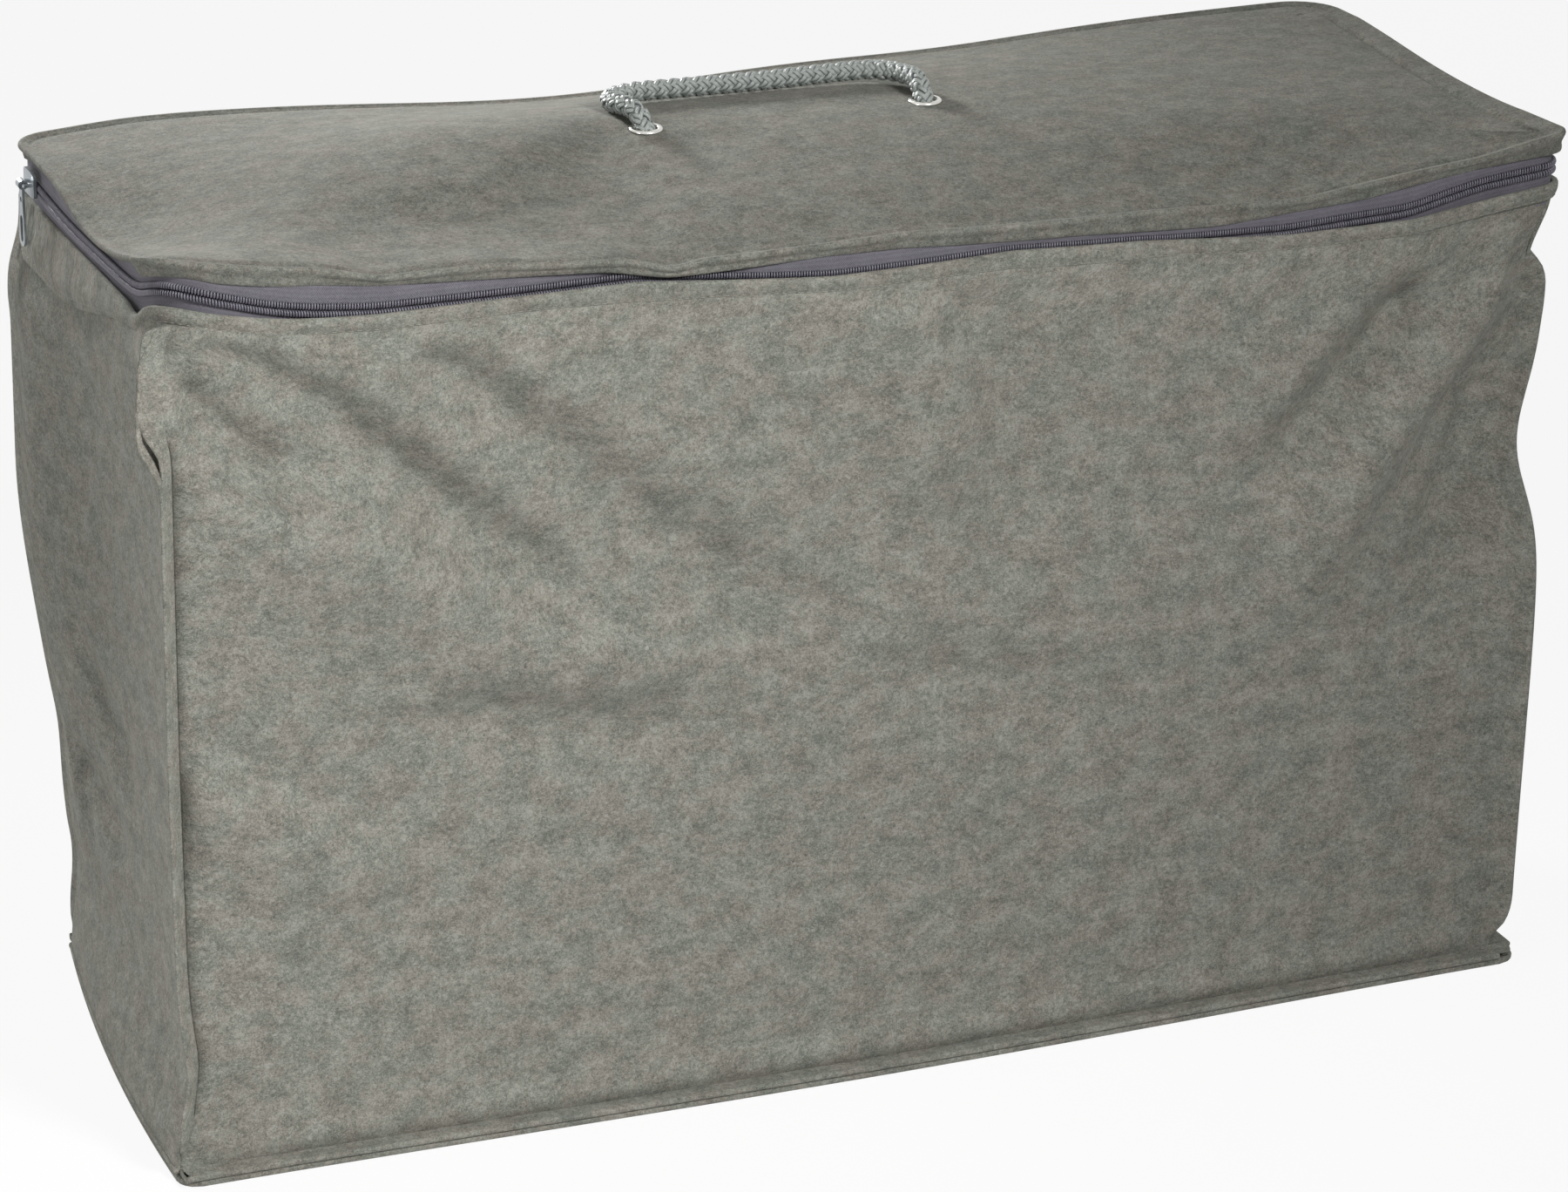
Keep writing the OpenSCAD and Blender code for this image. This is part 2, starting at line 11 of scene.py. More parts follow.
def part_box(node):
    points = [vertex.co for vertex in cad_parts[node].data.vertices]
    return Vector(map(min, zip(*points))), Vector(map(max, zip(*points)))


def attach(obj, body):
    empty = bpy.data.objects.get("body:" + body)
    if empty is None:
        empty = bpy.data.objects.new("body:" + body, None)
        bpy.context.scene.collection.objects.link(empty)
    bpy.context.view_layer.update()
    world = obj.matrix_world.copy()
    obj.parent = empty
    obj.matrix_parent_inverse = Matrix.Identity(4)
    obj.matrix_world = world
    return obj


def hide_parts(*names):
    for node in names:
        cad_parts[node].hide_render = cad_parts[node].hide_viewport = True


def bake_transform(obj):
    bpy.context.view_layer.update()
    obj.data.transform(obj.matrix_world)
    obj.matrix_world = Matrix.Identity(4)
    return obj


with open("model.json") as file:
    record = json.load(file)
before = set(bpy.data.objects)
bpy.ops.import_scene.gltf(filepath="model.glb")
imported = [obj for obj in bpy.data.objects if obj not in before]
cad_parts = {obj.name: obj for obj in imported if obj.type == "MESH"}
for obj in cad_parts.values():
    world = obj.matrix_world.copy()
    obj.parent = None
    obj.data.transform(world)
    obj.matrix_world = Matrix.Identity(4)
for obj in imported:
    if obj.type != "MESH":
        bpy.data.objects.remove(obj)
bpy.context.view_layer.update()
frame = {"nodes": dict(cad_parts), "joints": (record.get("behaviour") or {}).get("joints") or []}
mm = 0.001  # shapes below are in millimetres, finishes and the stage in metres
print("frame loaded:", len(frame["nodes"]), "nodes")


# Small curves that every soft shape uses

def ease(a, b, x):
    t = np.clip((np.asarray(x, float) - a) / (b - a), 0, 1)
    return t * t * (3 - 2 * t)


def hump(x, half):
    return np.clip(1 - (np.asarray(x, float) / half) ** 2, 0, None) ** 2


def bell(x, middle, width):
    return np.exp(-((np.asarray(x, float) - middle) / width) ** 2)


def bells(x, waves):  # height, middle and width of each
    return sum(height * bell(x, middle, width) for height, middle, width in waves)


def unit(v):
    return v / np.maximum(np.linalg.norm(v, axis=-1, keepdims=True), 1e-9)


# Camera

camera = {
    "azimuth": -21.619, "elevation": 20.952, "roll": 0.6249,
    "distance": 2895.78, "aim": (1.274, 0.0, 183.247),
    "lens": 144.328, "sensor": 36.0, "clip": (0.05, 50),
}


def placeCamera():
    a, e, r = (math.radians(camera[k]) for k in ("azimuth", "elevation", "roll"))
    back = Vector((math.sin(a) * math.cos(e), -math.cos(a) * math.cos(e), math.sin(e)))
    right = Vector((0, 0, 1)).cross(back).normalized()
    up = back.cross(right)
    across = right * math.cos(r) + up * math.sin(r)
    above = up * math.cos(r) - right * math.sin(r)
    data = bpy.data.cameras.new("view")
    data.lens, data.sensor_width, data.sensor_fit = camera["lens"], camera["sensor"], "HORIZONTAL"
    data.clip_start, data.clip_end = camera["clip"]
    eye = bpy.data.objects.new("view", data)
    turn = Matrix((across, above, back)).transposed()
    place = (Vector(camera["aim"]) + back * camera["distance"]) * mm
    eye.matrix_world = Matrix.Translation(place) @ turn.to_4x4()
    bpy.context.scene.collection.objects.link(eye)
    bpy.context.scene.camera = eye


placeCamera()
print("camera placed")


# Shader wires: sums of wires add Math nodes, and add() makes any other node

class Wire:
    def __init__(self, tree, socket=None):
        self.tree = tree
        self.socket = socket

    def add(self, kind, settings=None, sockets=None, output=0):
        made = self.tree.nodes.new(kind)
        for key, value in (settings or {}).items():
            setattr(made, key, value)
        for key, value in (sockets or {}).items():
            if isinstance(value, Wire):
                self.tree.links.new(value.socket, made.inputs[key])
            else:
                made.inputs[key].default_value = value
        return Wire(self.tree, made.outputs[output] if len(made.outputs) else None)

    def sum(self, operation, a, b):
        return self.add("ShaderNodeMath", {"operation": operation}, {0: a, 1: b})

    def __add__(self, other):
        return self.sum("ADD", self, other)

    def __radd__(self, other):
        return self.sum("ADD", other, self)

    def __sub__(self, other):
        return self.sum("SUBTRACT", self, other)

    def __rsub__(self, other):
        return self.sum("SUBTRACT", other, self)

    def __mul__(self, other):
        return self.sum("MULTIPLY", self, other)

    def __rmul__(self, other):
        return self.sum("MULTIPLY", other, self)

    def __truediv__(self, other):
        return self.sum("DIVIDE", self, other)

    def __rtruediv__(self, other):
        return self.sum("DIVIDE", other, self)

    def step(self, low, high):  # 0 below low, 1 above high, smooth between
        return self.add("ShaderNodeMapRange", {"interpolation_type": "SMOOTHSTEP"},
                        {0: self, 1: low, 2: high})

    def sine(self):
        return self.add("ShaderNodeMath", {"operation": "SINE"}, {0: self})

    def tint(self, low, high):  # a colour between two, by this wire
        return mixColours(self, self, low, high)

    def vectors(self, operation, a, b):
        return self.add("ShaderNodeVectorMath", {"operation": operation}, {0: a, 1: b})

    def noise(self, place, scale, detail=2, rough=0.5, size="2D", output=0):
        return self.add("ShaderNodeTexNoise", {"noise_dimensions": size},
                        {"Vector": place, "Scale": scale, "Detail": detail, "Roughness": rough}, output)

    def bump(self, height, strength, depth):
        return self.add("ShaderNodeBump", None, {"Strength": strength, "Distance": depth, "Height": height})

    def cloth(self):  # lengths along the flat sheet, in metres
        return self.add("ShaderNodeUVMap", {"uv_map": "cloth"})


def mixColours(wire, share, low, high, blend="MIX"):
    return wire.add("ShaderNodeMix", {"data_type": "RGBA", "blend_type": blend},
                    {0: share, 6: low, 7: high}, 2)


def newFinish(name):
    made = bpy.data.materials.new(name)
    made.use_nodes = True
    made.node_tree.nodes.clear()
    return made, Wire(made.node_tree)


def finishWith(wire, sockets):
    shader = wire.add("ShaderNodeBsdfPrincipled", None, sockets)
    wire.add("ShaderNodeOutputMaterial", None, {"Surface": shader})


def colour(r, g, b):
    return (r, g, b, 1.0)


# Felt: short fibres laid every way, in a mix of greys with a few pinkish ones

feltLook = {
    "mid": colour(0.212, 0.213, 0.182), "dark": colour(0.108, 0.112, 0.096),
    "light": colour(0.330, 0.330, 0.292),
    "green": colour(0.188, 0.212, 0.182), "pink": colour(0.245, 0.208, 0.180),
    "fibre": (0.0030, 0.00048),  # length and width of a fibre, in metres
    "turns": (0.1, 0.7, 1.4, 2.0, 2.7), "curl": 0.0030, "combed": 0.72,
    # scale, detail and roughness of each noise
    "bends": (180, 2, 0.6), "clouds": (84, 5, 0.92), "hues": (48, 5, 0.8), "grain": (420, 3, 0.6),
    "smudges": (95, 4, 0.75), "specks": (420, 2, 0.6),
    # where each mask starts and is full
    "hueSteps": (0.40, 0.60), "darkSteps": (0.58, 0.16), "lightSteps": (0.44, 0.86),
    "smudgeSteps": (0.60, 0.74), "speckSteps": (0.46, 0.62),
    "cloudShare": 0.95, "strandShare": 1.7, "smudgeShare": 0.55, "hueShare": 0.5,
    "strandHeight": 0.9, "grainHeight": 0.7, "relief": 0.0008, "reliefShare": 0.5,
    "rough": 0.94, "shine": 0.18, "fuzz": 0.12, "fuzzRough": 0.5, "fuzzTint": colour(0.62, 0.62, 0.56),
}


def feltFinish(name, seed, share):
    made, wire = newFinish(name)
    place = wire.vectors("ADD", wire.cloth(), (seed * 1.7, seed * 0.9, 0))
    combed = wire.vectors("MULTIPLY", place, (feltLook["combed"], 1, 1))
    half = wire.vectors("SUBTRACT", wire.noise(place, *feltLook["bends"], output=1), (0.5, 0.5, 0.5))
    curl = wire.add("ShaderNodeVectorMath", {"operation": "SCALE"}, {0: half, "Scale": feltLook["curl"]})
    bent = wire.vectors("ADD", place, curl)
    length, width = feltLook["fibre"]
    layers = []
    for turn in feltLook["turns"]:
        along = wire.add("ShaderNodeMapping", {"vector_type": "TEXTURE"},
                         {"Vector": bent, "Rotation": (0, 0, turn), "Scale": (length, width, 1)})
        layers.append(wire.noise(along, 1, 1))
    strands = sum(layers[1:], layers[0]) / len(layers)
    clouds = wire.noise(combed, *feltLook["clouds"])
    tone = 0.5 + (clouds - 0.5) * feltLook["cloudShare"] + (strands - 0.5) * feltLook["strandShare"]
    hue = wire.noise(combed, *feltLook["hues"]).step(*feltLook["hueSteps"])
    body = hue.tint(feltLook["green"], feltLook["pink"])
    body = mixColours(wire, feltLook["hueShare"], feltLook["mid"], body)
    body = tone.step(*feltLook["darkSteps"]).tint(body, feltLook["dark"])
    body = tone.step(*feltLook["lightSteps"]).tint(body, feltLook["light"])
    smudge = wire.noise(combed, *feltLook["smudges"]).step(*feltLook["smudgeSteps"])
    smudge = smudge * wire.noise(combed, *feltLook["specks"]).step(*feltLook["speckSteps"])
    body = (smudge * feltLook["smudgeShare"]).tint(body, feltLook["dark"])
    # a share below 1 multiplies in painted shade: a darker copy of the same felt
    body = mixColours(wire, 1.0, body, colour(share, share, share), "MULTIPLY")
    grain = wire.noise(place, *feltLook["grain"])
    height = strands * feltLook["strandHeight"] + grain * feltLook["grainHeight"]
    finishWith(wire, {
        "Base Color": body, "Roughness": feltLook["rough"], "Specular IOR Level": feltLook["shine"],
        "Normal": wire.bump(height, feltLook["reliefShare"], feltLook["relief"]),
        "Sheen Weight": feltLook["fuzz"], "Sheen Roughness": feltLook["fuzzRough"],
        "Sheen Tint": feltLook["fuzzTint"],
    })
    return made


wallFelt = feltFinish("wall_felt", 1, 1.0)
# the lid has the same felt painted 18% darker, as painted shade on its top
lidFeltShaded = feltFinish("lid_felt", 4, 0.82)


# Woven zip tape: a fine twill with lengthwise ribs beside the coil

tapeLook = {
    "warp": colour(0.200, 0.191, 0.217), "weft": colour(0.088, 0.082, 0.101), "pitch": 0.00085,
    "slope": 0.8, "ribs": 0.42, "grain": 900, "wear": 90,
    "shares": (0.5, 0.2, 0.5, 0.5, -0.35),  # twill, ribs, grain, wear and an even part
    "rough": 0.72, "shine": 0.35, "fuzz": 0.2, "fuzzRough": 0.4, "relief": 0.0003, "reliefShare": 0.6,
}


def acrossAlong(wire, flat):
    return (wire.add("ShaderNodeSeparateXYZ", None, {0: flat}, axis) for axis in (0, 1))


def tapeFinish():
    made, wire = newFinish("zip_tape_weave")
    flat = wire.cloth()
    across, up = acrossAlong(wire, flat)
    turn = 2 * math.pi / tapeLook["pitch"]
    twill = ((across + up * tapeLook["slope"]) * turn).sine() * 0.5 + 0.5
    ribs = (up * (turn * tapeLook["ribs"])).sine() * 0.5 + 0.5
    grain = wire.noise(flat, tapeLook["grain"], 3)
    worn = wire.noise(flat, tapeLook["wear"], 3)
    a, b, c, d, even = tapeLook["shares"]
    weave = twill * a + ribs * b + grain * c + worn * d + even
    finishWith(wire, {
        "Base Color": weave.tint(tapeLook["weft"], tapeLook["warp"]), "Roughness": tapeLook["rough"],
        "Normal": wire.bump(twill + grain * 0.6, tapeLook["reliefShare"], tapeLook["relief"]),
        "Specular IOR Level": tapeLook["shine"],
        "Sheen Weight": tapeLook["fuzz"], "Sheen Roughness": tapeLook["fuzzRough"],
    })
    return made


tapeWeave = tapeFinish()


# Nylon, metal and thread: two colours in spots, with a fine grain

speckles = {
    "coil_nylon": {"low": colour(0.104, 0.098, 0.121), "high": colour(0.158, 0.150, 0.177),
                   "scale": 300, "rough": (0.36, 0.48), "grain": 0.0001, "metal": 0.0},
    "zip_metal": {"low": colour(0.30, 0.33, 0.35), "high": colour(0.42, 0.45, 0.47),
                  "scale": 160, "rough": (0.30, 0.42), "grain": 0.00004, "metal": 0.85},
    "nickel": {"low": colour(0.60, 0.59, 0.55), "high": colour(0.72, 0.71, 0.67),
               "scale": 120, "rough": (0.16, 0.30), "grain": 0.00003, "metal": 1.0},
    "seam_thread": {"low": colour(0.20, 0.20, 0.17), "high": colour(0.30, 0.30, 0.26),
                    "scale": 900, "rough": (0.7, 0.85), "grain": 0.0002, "metal": 0.0},
}


def speckled(name):
    made, wire = newFinish(name)
    look = speckles[name]
    place = wire.add("ShaderNodeTexCoord", None, None, 3)
    mask = wire.noise(place, look["scale"], 4, 0.6, "3D").step(0.35, 0.68)
    fine = wire.noise(place, look["scale"] * 6, 2, 0.5, "3D")
    smooth, dull = look["rough"]
    finishWith(wire, {
        "Base Color": mask.tint(look["low"], look["high"]), "Roughness": smooth + mask * (dull - smooth),
        "Normal": wire.bump(fine, 0.4, look["grain"]), "Metallic": look["metal"],
    })
    return made


coilNylon, zipMetal, nickel, seamThread = (speckled(name) for name in speckles)


# Cord: bundles of bright yarn, with painted shade darkening each strand towards its edges and painted glints
# on the yarn

cordLook = {
    "yarn": colour(0.52, 0.56, 0.53), "shade": colour(0.050, 0.060, 0.058), "yarnCount": 4, "twist": 700,
    "glints": 160, "edge": (0.10, 0.95), "yarnShare": 0.35, "glintShare": 0.7, "even": 0.15,
    "litCrownShare": 0.88, "edgeShare": 0.06, "rough": (0.30, 0.14), "shine": 0.65,
    "relief": 0.0003, "reliefShare": 0.6,
}


def cordFinish():
    made, wire = newFinish("braided_yarn")
    flat = wire.cloth()
    across, along = acrossAlong(wire, flat)
    turn = 2 * math.pi * cordLook["yarnCount"]
    yarns = (across * turn + along * cordLook["twist"]).sine() * 0.5 + 0.5
    # painted glints: bright spots of noise in the colour stand in for the yarn's highlights
    glint = wire.noise(flat, cordLook["glints"], 3)
    # painted shade: the colour darkens towards the edges of each strand, where the strands shade each other
    crown = 1 - (across * across * 4).step(*cordLook["edge"])
    # the yarn stripes in the colour are partly the yarns' own pattern and partly painted shade between the
    # yarns
    mask = yarns * cordLook["yarnShare"] + glint * cordLook["glintShare"] + cordLook["even"]
    mask = mask * (crown * cordLook["litCrownShare"] + cordLook["edgeShare"])
    smooth, more = cordLook["rough"]
    finishWith(wire, {
        "Base Color": mask.tint(cordLook["shade"], cordLook["yarn"]), "Roughness": smooth + mask * more,
        "Specular IOR Level": cordLook["shine"],
        "Normal": wire.bump(yarns, cordLook["reliefShare"], cordLook["relief"]),
    })
    return made


braidYarn = cordFinish()
print("finishes made")


# Meshes from grids of points

def meshPiece(name, points, faces, flat, finish):
    mesh = bpy.data.meshes.new(name)
    mesh.from_pydata((np.asarray(points) * mm).tolist(), [], faces)
    work = bmesh.new()
    work.from_mesh(mesh)
    bmesh.ops.recalc_face_normals(work, faces=work.faces)
    work.to_mesh(mesh)
    work.free()
    corner = np.zeros(len(mesh.loops), np.int32)
    mesh.loops.foreach_get("vertex_index", corner)
    layer = mesh.uv_layers.new(name="cloth")
    layer.data.foreach_set("uv", (np.asarray(flat)[corner] * mm).astype(np.float32).ravel())
    mesh.polygons.foreach_set("use_smooth", np.ones(len(mesh.polygons), bool))
    mesh.materials.append(finish)
    piece = bpy.data.objects.new(name, mesh)
    bpy.context.scene.collection.objects.link(piece)
    return piece


def gridFaces(n, m, start=0, wrap=False):
    i, j = np.meshgrid(np.arange(n if wrap else n - 1), np.arange(m - 1), indexing="ij")
    k = (i + 1) % n
    quads = np.stack([i * m + j, k * m + j, k * m + j + 1, i * m + j + 1], -1) + start
    return quads.reshape(-1, 4).tolist()


def gridNormals(grid, wrap=False):
    if wrap:
        across = np.roll(grid, -1, 0) - np.roll(grid, 1, 0)
    else:
        across = np.gradient(grid, axis=0)
    return unit(np.cross(across, np.gradient(grid, axis=1)))


def flatLengths(grid):  # lengths along both ways of a grid, measured from its middle column
    u = np.cumsum(np.linalg.norm(np.diff(grid, axis=0), axis=2), 0)
    u = np.concatenate([np.zeros((1, grid.shape[1])), u])
    u -= u[len(u) // 2]
    steps = np.linalg.norm(np.diff(grid, axis=1), axis=2).mean(0)
    v = np.concatenate([[0], np.cumsum(steps)])
    return np.stack([u, np.broadcast_to(v, u.shape)], -1)


cutEdge = {"turns": (25, 55, 90, 125, 155), "bulge": 0.75, "innerShift": 900}  # turns in degrees


# a sheet of felt round a grid of points, with rounded cut edges; the inner face has its own place on the flat
def feltShell(name, grid, thick, finish, wrap=False):
    n, m = grid.shape[:2]
    normal = gridNormals(grid, wrap)
    flat = flatLengths(grid)
    half = np.broadcast_to(np.asarray(thick) / 2, (n, m))[..., None]
    points = [(grid + normal * half).reshape(-1, 3), (grid - normal * half).reshape(-1, 3)]
    flats = [flat.reshape(-1, 2), flat.reshape(-1, 2) + [0, cutEdge["innerShift"]]]
    faces = gridFaces(n, m, 0, wrap) + gridFaces(n, m, n * m, wrap)
    if wrap:
        loops = [[(i, j) for i in range(n)] for j in (0, m - 1)]
    else:
        loops = [[(i, 0) for i in range(n - 1)] + [(n - 1, j) for j in range(m - 1)]
                 + [(i, m - 1) for i in range(n - 1, 0, -1)] + [(0, j) for j in range(m - 1, 0, -1)]]
    count = 2 * n * m
    for loop in loops:
        i, j = np.array(loop).T
        inward = grid[i if wrap else np.clip(i, 1, n - 2), np.clip(j, 1, m - 2)]
        out = unit(grid[i, j] - inward)
        out = unit(out - normal[i, j] * (out * normal[i, j]).sum(-1, keepdims=True))
        past = np.stack([(i == n - 1) * 1.0 - (i == 0), (j == m - 1) * 1.0 - (j == 0)], -1)
        past = past * [0 if wrap else 1, 1]
        rings = [i * m + j]
        for turn in cutEdge["turns"]:
            a = math.radians(turn)
            swing = math.cos(a) * normal[i, j] + math.sin(a) * cutEdge["bulge"] * out
            points.append(grid[i, j] + half[i, j] * swing)
            flats.append(flat[i, j] + past * half[i, j] * a)
            rings.append(np.arange(count, count + len(i)))
            count += len(i)
        rings.append(n * m + i * m + j)
        for a, b in zip(rings[:-1], rings[1:]):
            faces += np.stack([a, np.roll(a, -1), np.roll(b, -1), b], -1).tolist()
    return meshPiece(name, np.concatenate(points), faces, np.concatenate(flats), finish)


def tubeFaces(rings, sides, start=0):  # a closed tube, capped at both ends
    i, j = np.meshgrid(np.arange(rings - 1), np.arange(sides), indexing="ij")
    k = (j + 1) % sides
    quads = np.stack([i * sides + j, i * sides + k, (i + 1) * sides + k, (i + 1) * sides + j], -1) + start
    first = list(range(start, start + sides))
    last = list(range(start + sides * (rings - 1), start + sides * rings))
    return quads.reshape(-1, 4).tolist() + [first[::-1], last]


def circleRound(middle, wide, across, thin, up, sides):  # rings of points round each point of a line
    a = 2 * math.pi * np.arange(sides) / sides
    return (middle[..., None, :] + wide * np.cos(a)[:, None] * across[..., None, :]
            + thin * np.sin(a)[:, None] * up[..., None, :])


def alongPath(path, step):  # even steps along a line of points, with the arc length
    long = np.concatenate([[0], np.cumsum(np.linalg.norm(np.diff(path, axis=0), axis=1))])
    at = np.linspace(0, long[-1], max(2, int(round(long[-1] / step)) + 1))
    return np.stack([np.interp(at, long, path[:, k]) for k in range(path.shape[1])], -1), at


# Bag shape, shared by the walls, the rim, the zip and the lid

lidHigh = np.array(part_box("lid_panel")[1]) / mm
bag = {
    "halfW": float(lidHigh[0]), "halfD": float(lidHigh[1]),
    "zipZ": frame["joints"][0]["pos_m"][2] / mm,
    "felt": 3.0, "corners": {(-1, -1): 28.0, (1, -1): 12.0, (-1, 1): 16.0, (1, 1): 16.0},
    "square": (12, 46),  # depths under the rim over which a round corner turns square
    "rimSag": 11.0, "rimBow": 10.0, "rimBowSpan": (12, 130), "frontBow": 11.0, "bowPeak": 80.0,
    "backBow": 5.0, "baseBow": 5.0, "baseBowTop": 120, "waist": 6.0, "waistSpan": (12, 72), "dish": 5.0,
    "lean": 15.0, "leanSpan": (90, 250), "footLean": 6.5, "footLeanSpan": (10, 70),
    "zipDrop": 6.6, "zipRise": 9.0, "skirt": 8.0, "band": 7.8, "bandGap": -0.6, "rimTip": 4.7, "tipWidth": 28,
    "backGap": 0.5, "backEnds": (50, 24), "frontZone": (-0.55, -0.9),
    "rack": 7.5, "rackSpan": 310, "rackTop": 220,
}
halfW, halfD, zipZ, felt = bag["halfW"], bag["halfD"], bag["zipZ"], bag["felt"]
wallTop = zipZ - bag["zipDrop"]
lidEdge = zipZ + bag["zipRise"] + bag["skirt"]
diagonal = 1 - math.sin(math.radians(45))


def cornerR(hand, side):
    return bag["corners"][(hand, side)]


def sagAt(x):
    return bag["rimSag"] * hump(x, halfW)


def rimBowAt(x):
    return bag["rimBow"] * hump(x, halfW)


def squareAt(depth):
    return ease(*bag["square"], depth)


def bellyAt(z):
    return hump(z - wallTop / 2, wallTop / 2)


def leanAt(y, z):
    share = np.clip((y + halfD) / (2 * halfD), 0, 1) ** 2
    foot = bag["footLean"] * (1 - ease(*bag["footLeanSpan"], z))
    return share * (bag["lean"] * (1 - ease(*bag["leanSpan"], z)) + foot)


def flareAt(hand, z):  # the left end spreads over its foot
    return wall["flare"] * (1 - ease(*wall["flareSpan"], z)) if hand < 0 else 0 * z


def endXAt(y, z):
    return (halfW - felt / 2 - bag["waist"] * ease(*bag["waistSpan"], wallTop - z) - leanAt(y, z)
            - bag["dish"] * hump(y, halfD) * bellyAt(z))


def skewed(x, peak):  # the same span with its middle moved to peak
    return np.where(x > peak, (x - peak) / (halfW - peak), (x - peak) / (halfW + peak)) * halfW


def wallYAt(side, x, z, depth):
    foot = bag["baseBow"] * (1 - ease(0, bag["baseBowTop"], z))
    if side > 0:
        return halfD - felt / 2 + hump(x, halfW) * (foot + bag["backBow"] * bellyAt(z))
    rim = bag["rimBow"] * (1 - ease(*bag["rimBowSpan"], depth))
    return (halfD - felt / 2 + hump(x, halfW) * (foot + rim)
            + hump(skewed(x, bag["bowPeak"]), halfW) * bag["frontBow"] * bellyAt(z))


def roundingAt(reach, r):
    e = np.clip(reach, 0, r * math.sin(math.radians(45)))
    return r - np.sqrt(r * r - e * e)


def frontness(y):
    return ease(bag["frontZone"][0] * halfD, bag["frontZone"][1] * halfD, y)


def rackAt(grid):  # the floor edge lies askew under the rim
    x, y, z = np.moveaxis(grid, -1, 0)
    front = np.clip((halfD - y) / (2 * halfD), 0, 1)
    return bag["rack"] * x / bag["rackSpan"] * (1 - ease(0, bag["rackTop"], z)) * front


# How the slack felt departs from the even shape, as seen on the bag

slack = {
    "cornerLift": 10.0, "cornerPlace": (-320, -113), "cornerWidth": (36, 30), "rimShare": 0.85,
    "sideSag": 3.6, "sidePlace": (36, 72), "sideZone": (60, 20),
    "sliderRoom": 4.0, "sliderPlace": (-80, 12),  # the rim gives way where the open slider stands
    "leftDrop": 4.0, "leftStart": (-95, 60), "leftEnd": (124, 110), "leftZone": (40, 12),
    "leftBand": 22.0, "leftRidge": 1.6, "leftLean": 1.8, "pinch": -112.0, "pinchWidth": 42.0,
    "bandWaves": [(2.2, -115, 32), (1.9, 85, 45)], "soften": (-5, -2.5, 0, 2.5, 5),
    # along the front, x and height: the felt's rim, the coil over that rim, the lid's hem and the lid's edge
    "rim": [(-325, 2.5), (-230, 5), (-118, 14.5), (-30, 10), (55, 12), (118, 7), (190, -2.5),
            (253, -6), (325, 1.5)],
    "zipGap": [(-325, 6), (-238, 1.5), (-100, -1), (130, -1.5), (244, 3.5), (287, 7)],
    "hem": [(-325, -3), (-258, 1.5), (-230, 0), (-131, 2), (-104, -2), (-30, 2), (5, 2), (90, -3.5),
            (156, -10), (230, -10), (325, -0.5)],
    "edge": [(-325, 5), (-260, 2.5), (-230, -2), (-184, 2.5), (-122, 1), (-102, -5), (-90, -1.5), (4, 2.5),
             (118, -3.5), (198, -11), (286, -6), (325, 2)],
}


def curve(x, points):  # a line through heights, with its corners softened
    at, height = np.array(points, float).T
    return np.mean([np.interp(np.asarray(x) + d, at, height) for d in slack["soften"]], 0)


def nearLeft(x, zone):
    return ease(-halfW + zone[0], -halfW + zone[1], x)


def cornerLift(x, y):
    (px, py), (wx, wy) = slack["cornerPlace"], slack["cornerWidth"]
    return slack["cornerLift"] * bell(x, px, wx) * bell(y, py, wy)


def sideSag(x, y):  # the zip hangs a little along the left side
    return slack["sideSag"] * bell(y, *slack["sidePlace"]) * nearLeft(x, slack["sideZone"])


def leftDrop(x, y):  # share by which the left end's rim hangs, towards the back
    return ease(*slack["leftStart"], y) * ease(*slack["leftEnd"], y) * nearLeft(x, slack["leftZone"])


def rimLift(x, y):  # how far the walls' upper edge stands above the even rim
    runOut = slack["sliderRoom"] * bell(y, *slack["sliderPlace"]) * nearLeft(x, slack["leftZone"])
    drop = slack["leftDrop"] * leftDrop(x, y) + runOut
    return slack["rimShare"] * cornerLift(x, y) - drop + curve(x, slack["rim"]) * frontness(y)


def zipLift(x, y):
    front = curve(x, slack["rim"]) - bag["zipDrop"] + curve(x, slack["zipGap"])
    return cornerLift(x, y) - sideSag(x, y) + front * frontness(y)


def bandHeight(x, y):
    front = bells(x, slack["bandWaves"])
    return bag["band"] + slack["leftBand"] * leftDrop(x, y) + front * frontness(y)


def backRaise(x):  # along the back the rim stands up to the fold
    ends = ease(halfW - bag["backEnds"][0], halfW - bag["backEnds"][1], np.abs(x))
    return (bag["zipDrop"] - bag["backGap"]) * (1 - ends)


# Corner seams: where the two panels meet, which way their sewn edges stand, and how far

seam = {
    "reach": 10.0, "press": 0.5, "overlap": 0.2, "swap": 0.35, "least": 0.0008,
    "footRound": (13.0, 34.0), "topRound": 2.0, "rightTop": (334.0, 349.0),
    "topAngle": 8.0, "angle": 45.0, "leftAngle": 60.0, "leftTurn": (338, 320), "backAngle": 84.0,
    # waves of a seam up its height: push, height and width
    "rightTurn": [(-22, 318, 34)], "rightOut": [(-4.5, 346, 18), (-9.5, 258, 30)], "rightIn": [(13, 290, 62)],
    "rightTip": 4.0, "rightTipSpan": (350, 376), "leftOut": -7.0, "leftFoot": (15, 95), "leftTop": (384, 368),
    "backLeft": [(1.5, 116, 20)], "backLeftOut": -7.0, "backLeftSpan": (362, 322), "backLeftFoot": (4, 130),
    "backRight": [(-2.5, 190, 30)],
}


def seamShift(hand, side, z):
    if side < 0 and hand > 0:
        return (seam["rightTip"] * ease(*seam["rightTipSpan"], z) + bells(z, seam["rightOut"]),
                bells(z, seam["rightIn"]))
    if side < 0:
        return seam["leftOut"] * ease(*seam["leftFoot"], z) * ease(*seam["leftTop"], z), 0 * z
    if hand < 0:
        x = bells(z, seam["backLeft"]) + seam["backLeftOut"] * ease(*seam["backLeftSpan"], z)
        return x * ease(*seam["backLeftFoot"], z), 0 * z
    return bells(z, seam["backRight"]), 0 * z


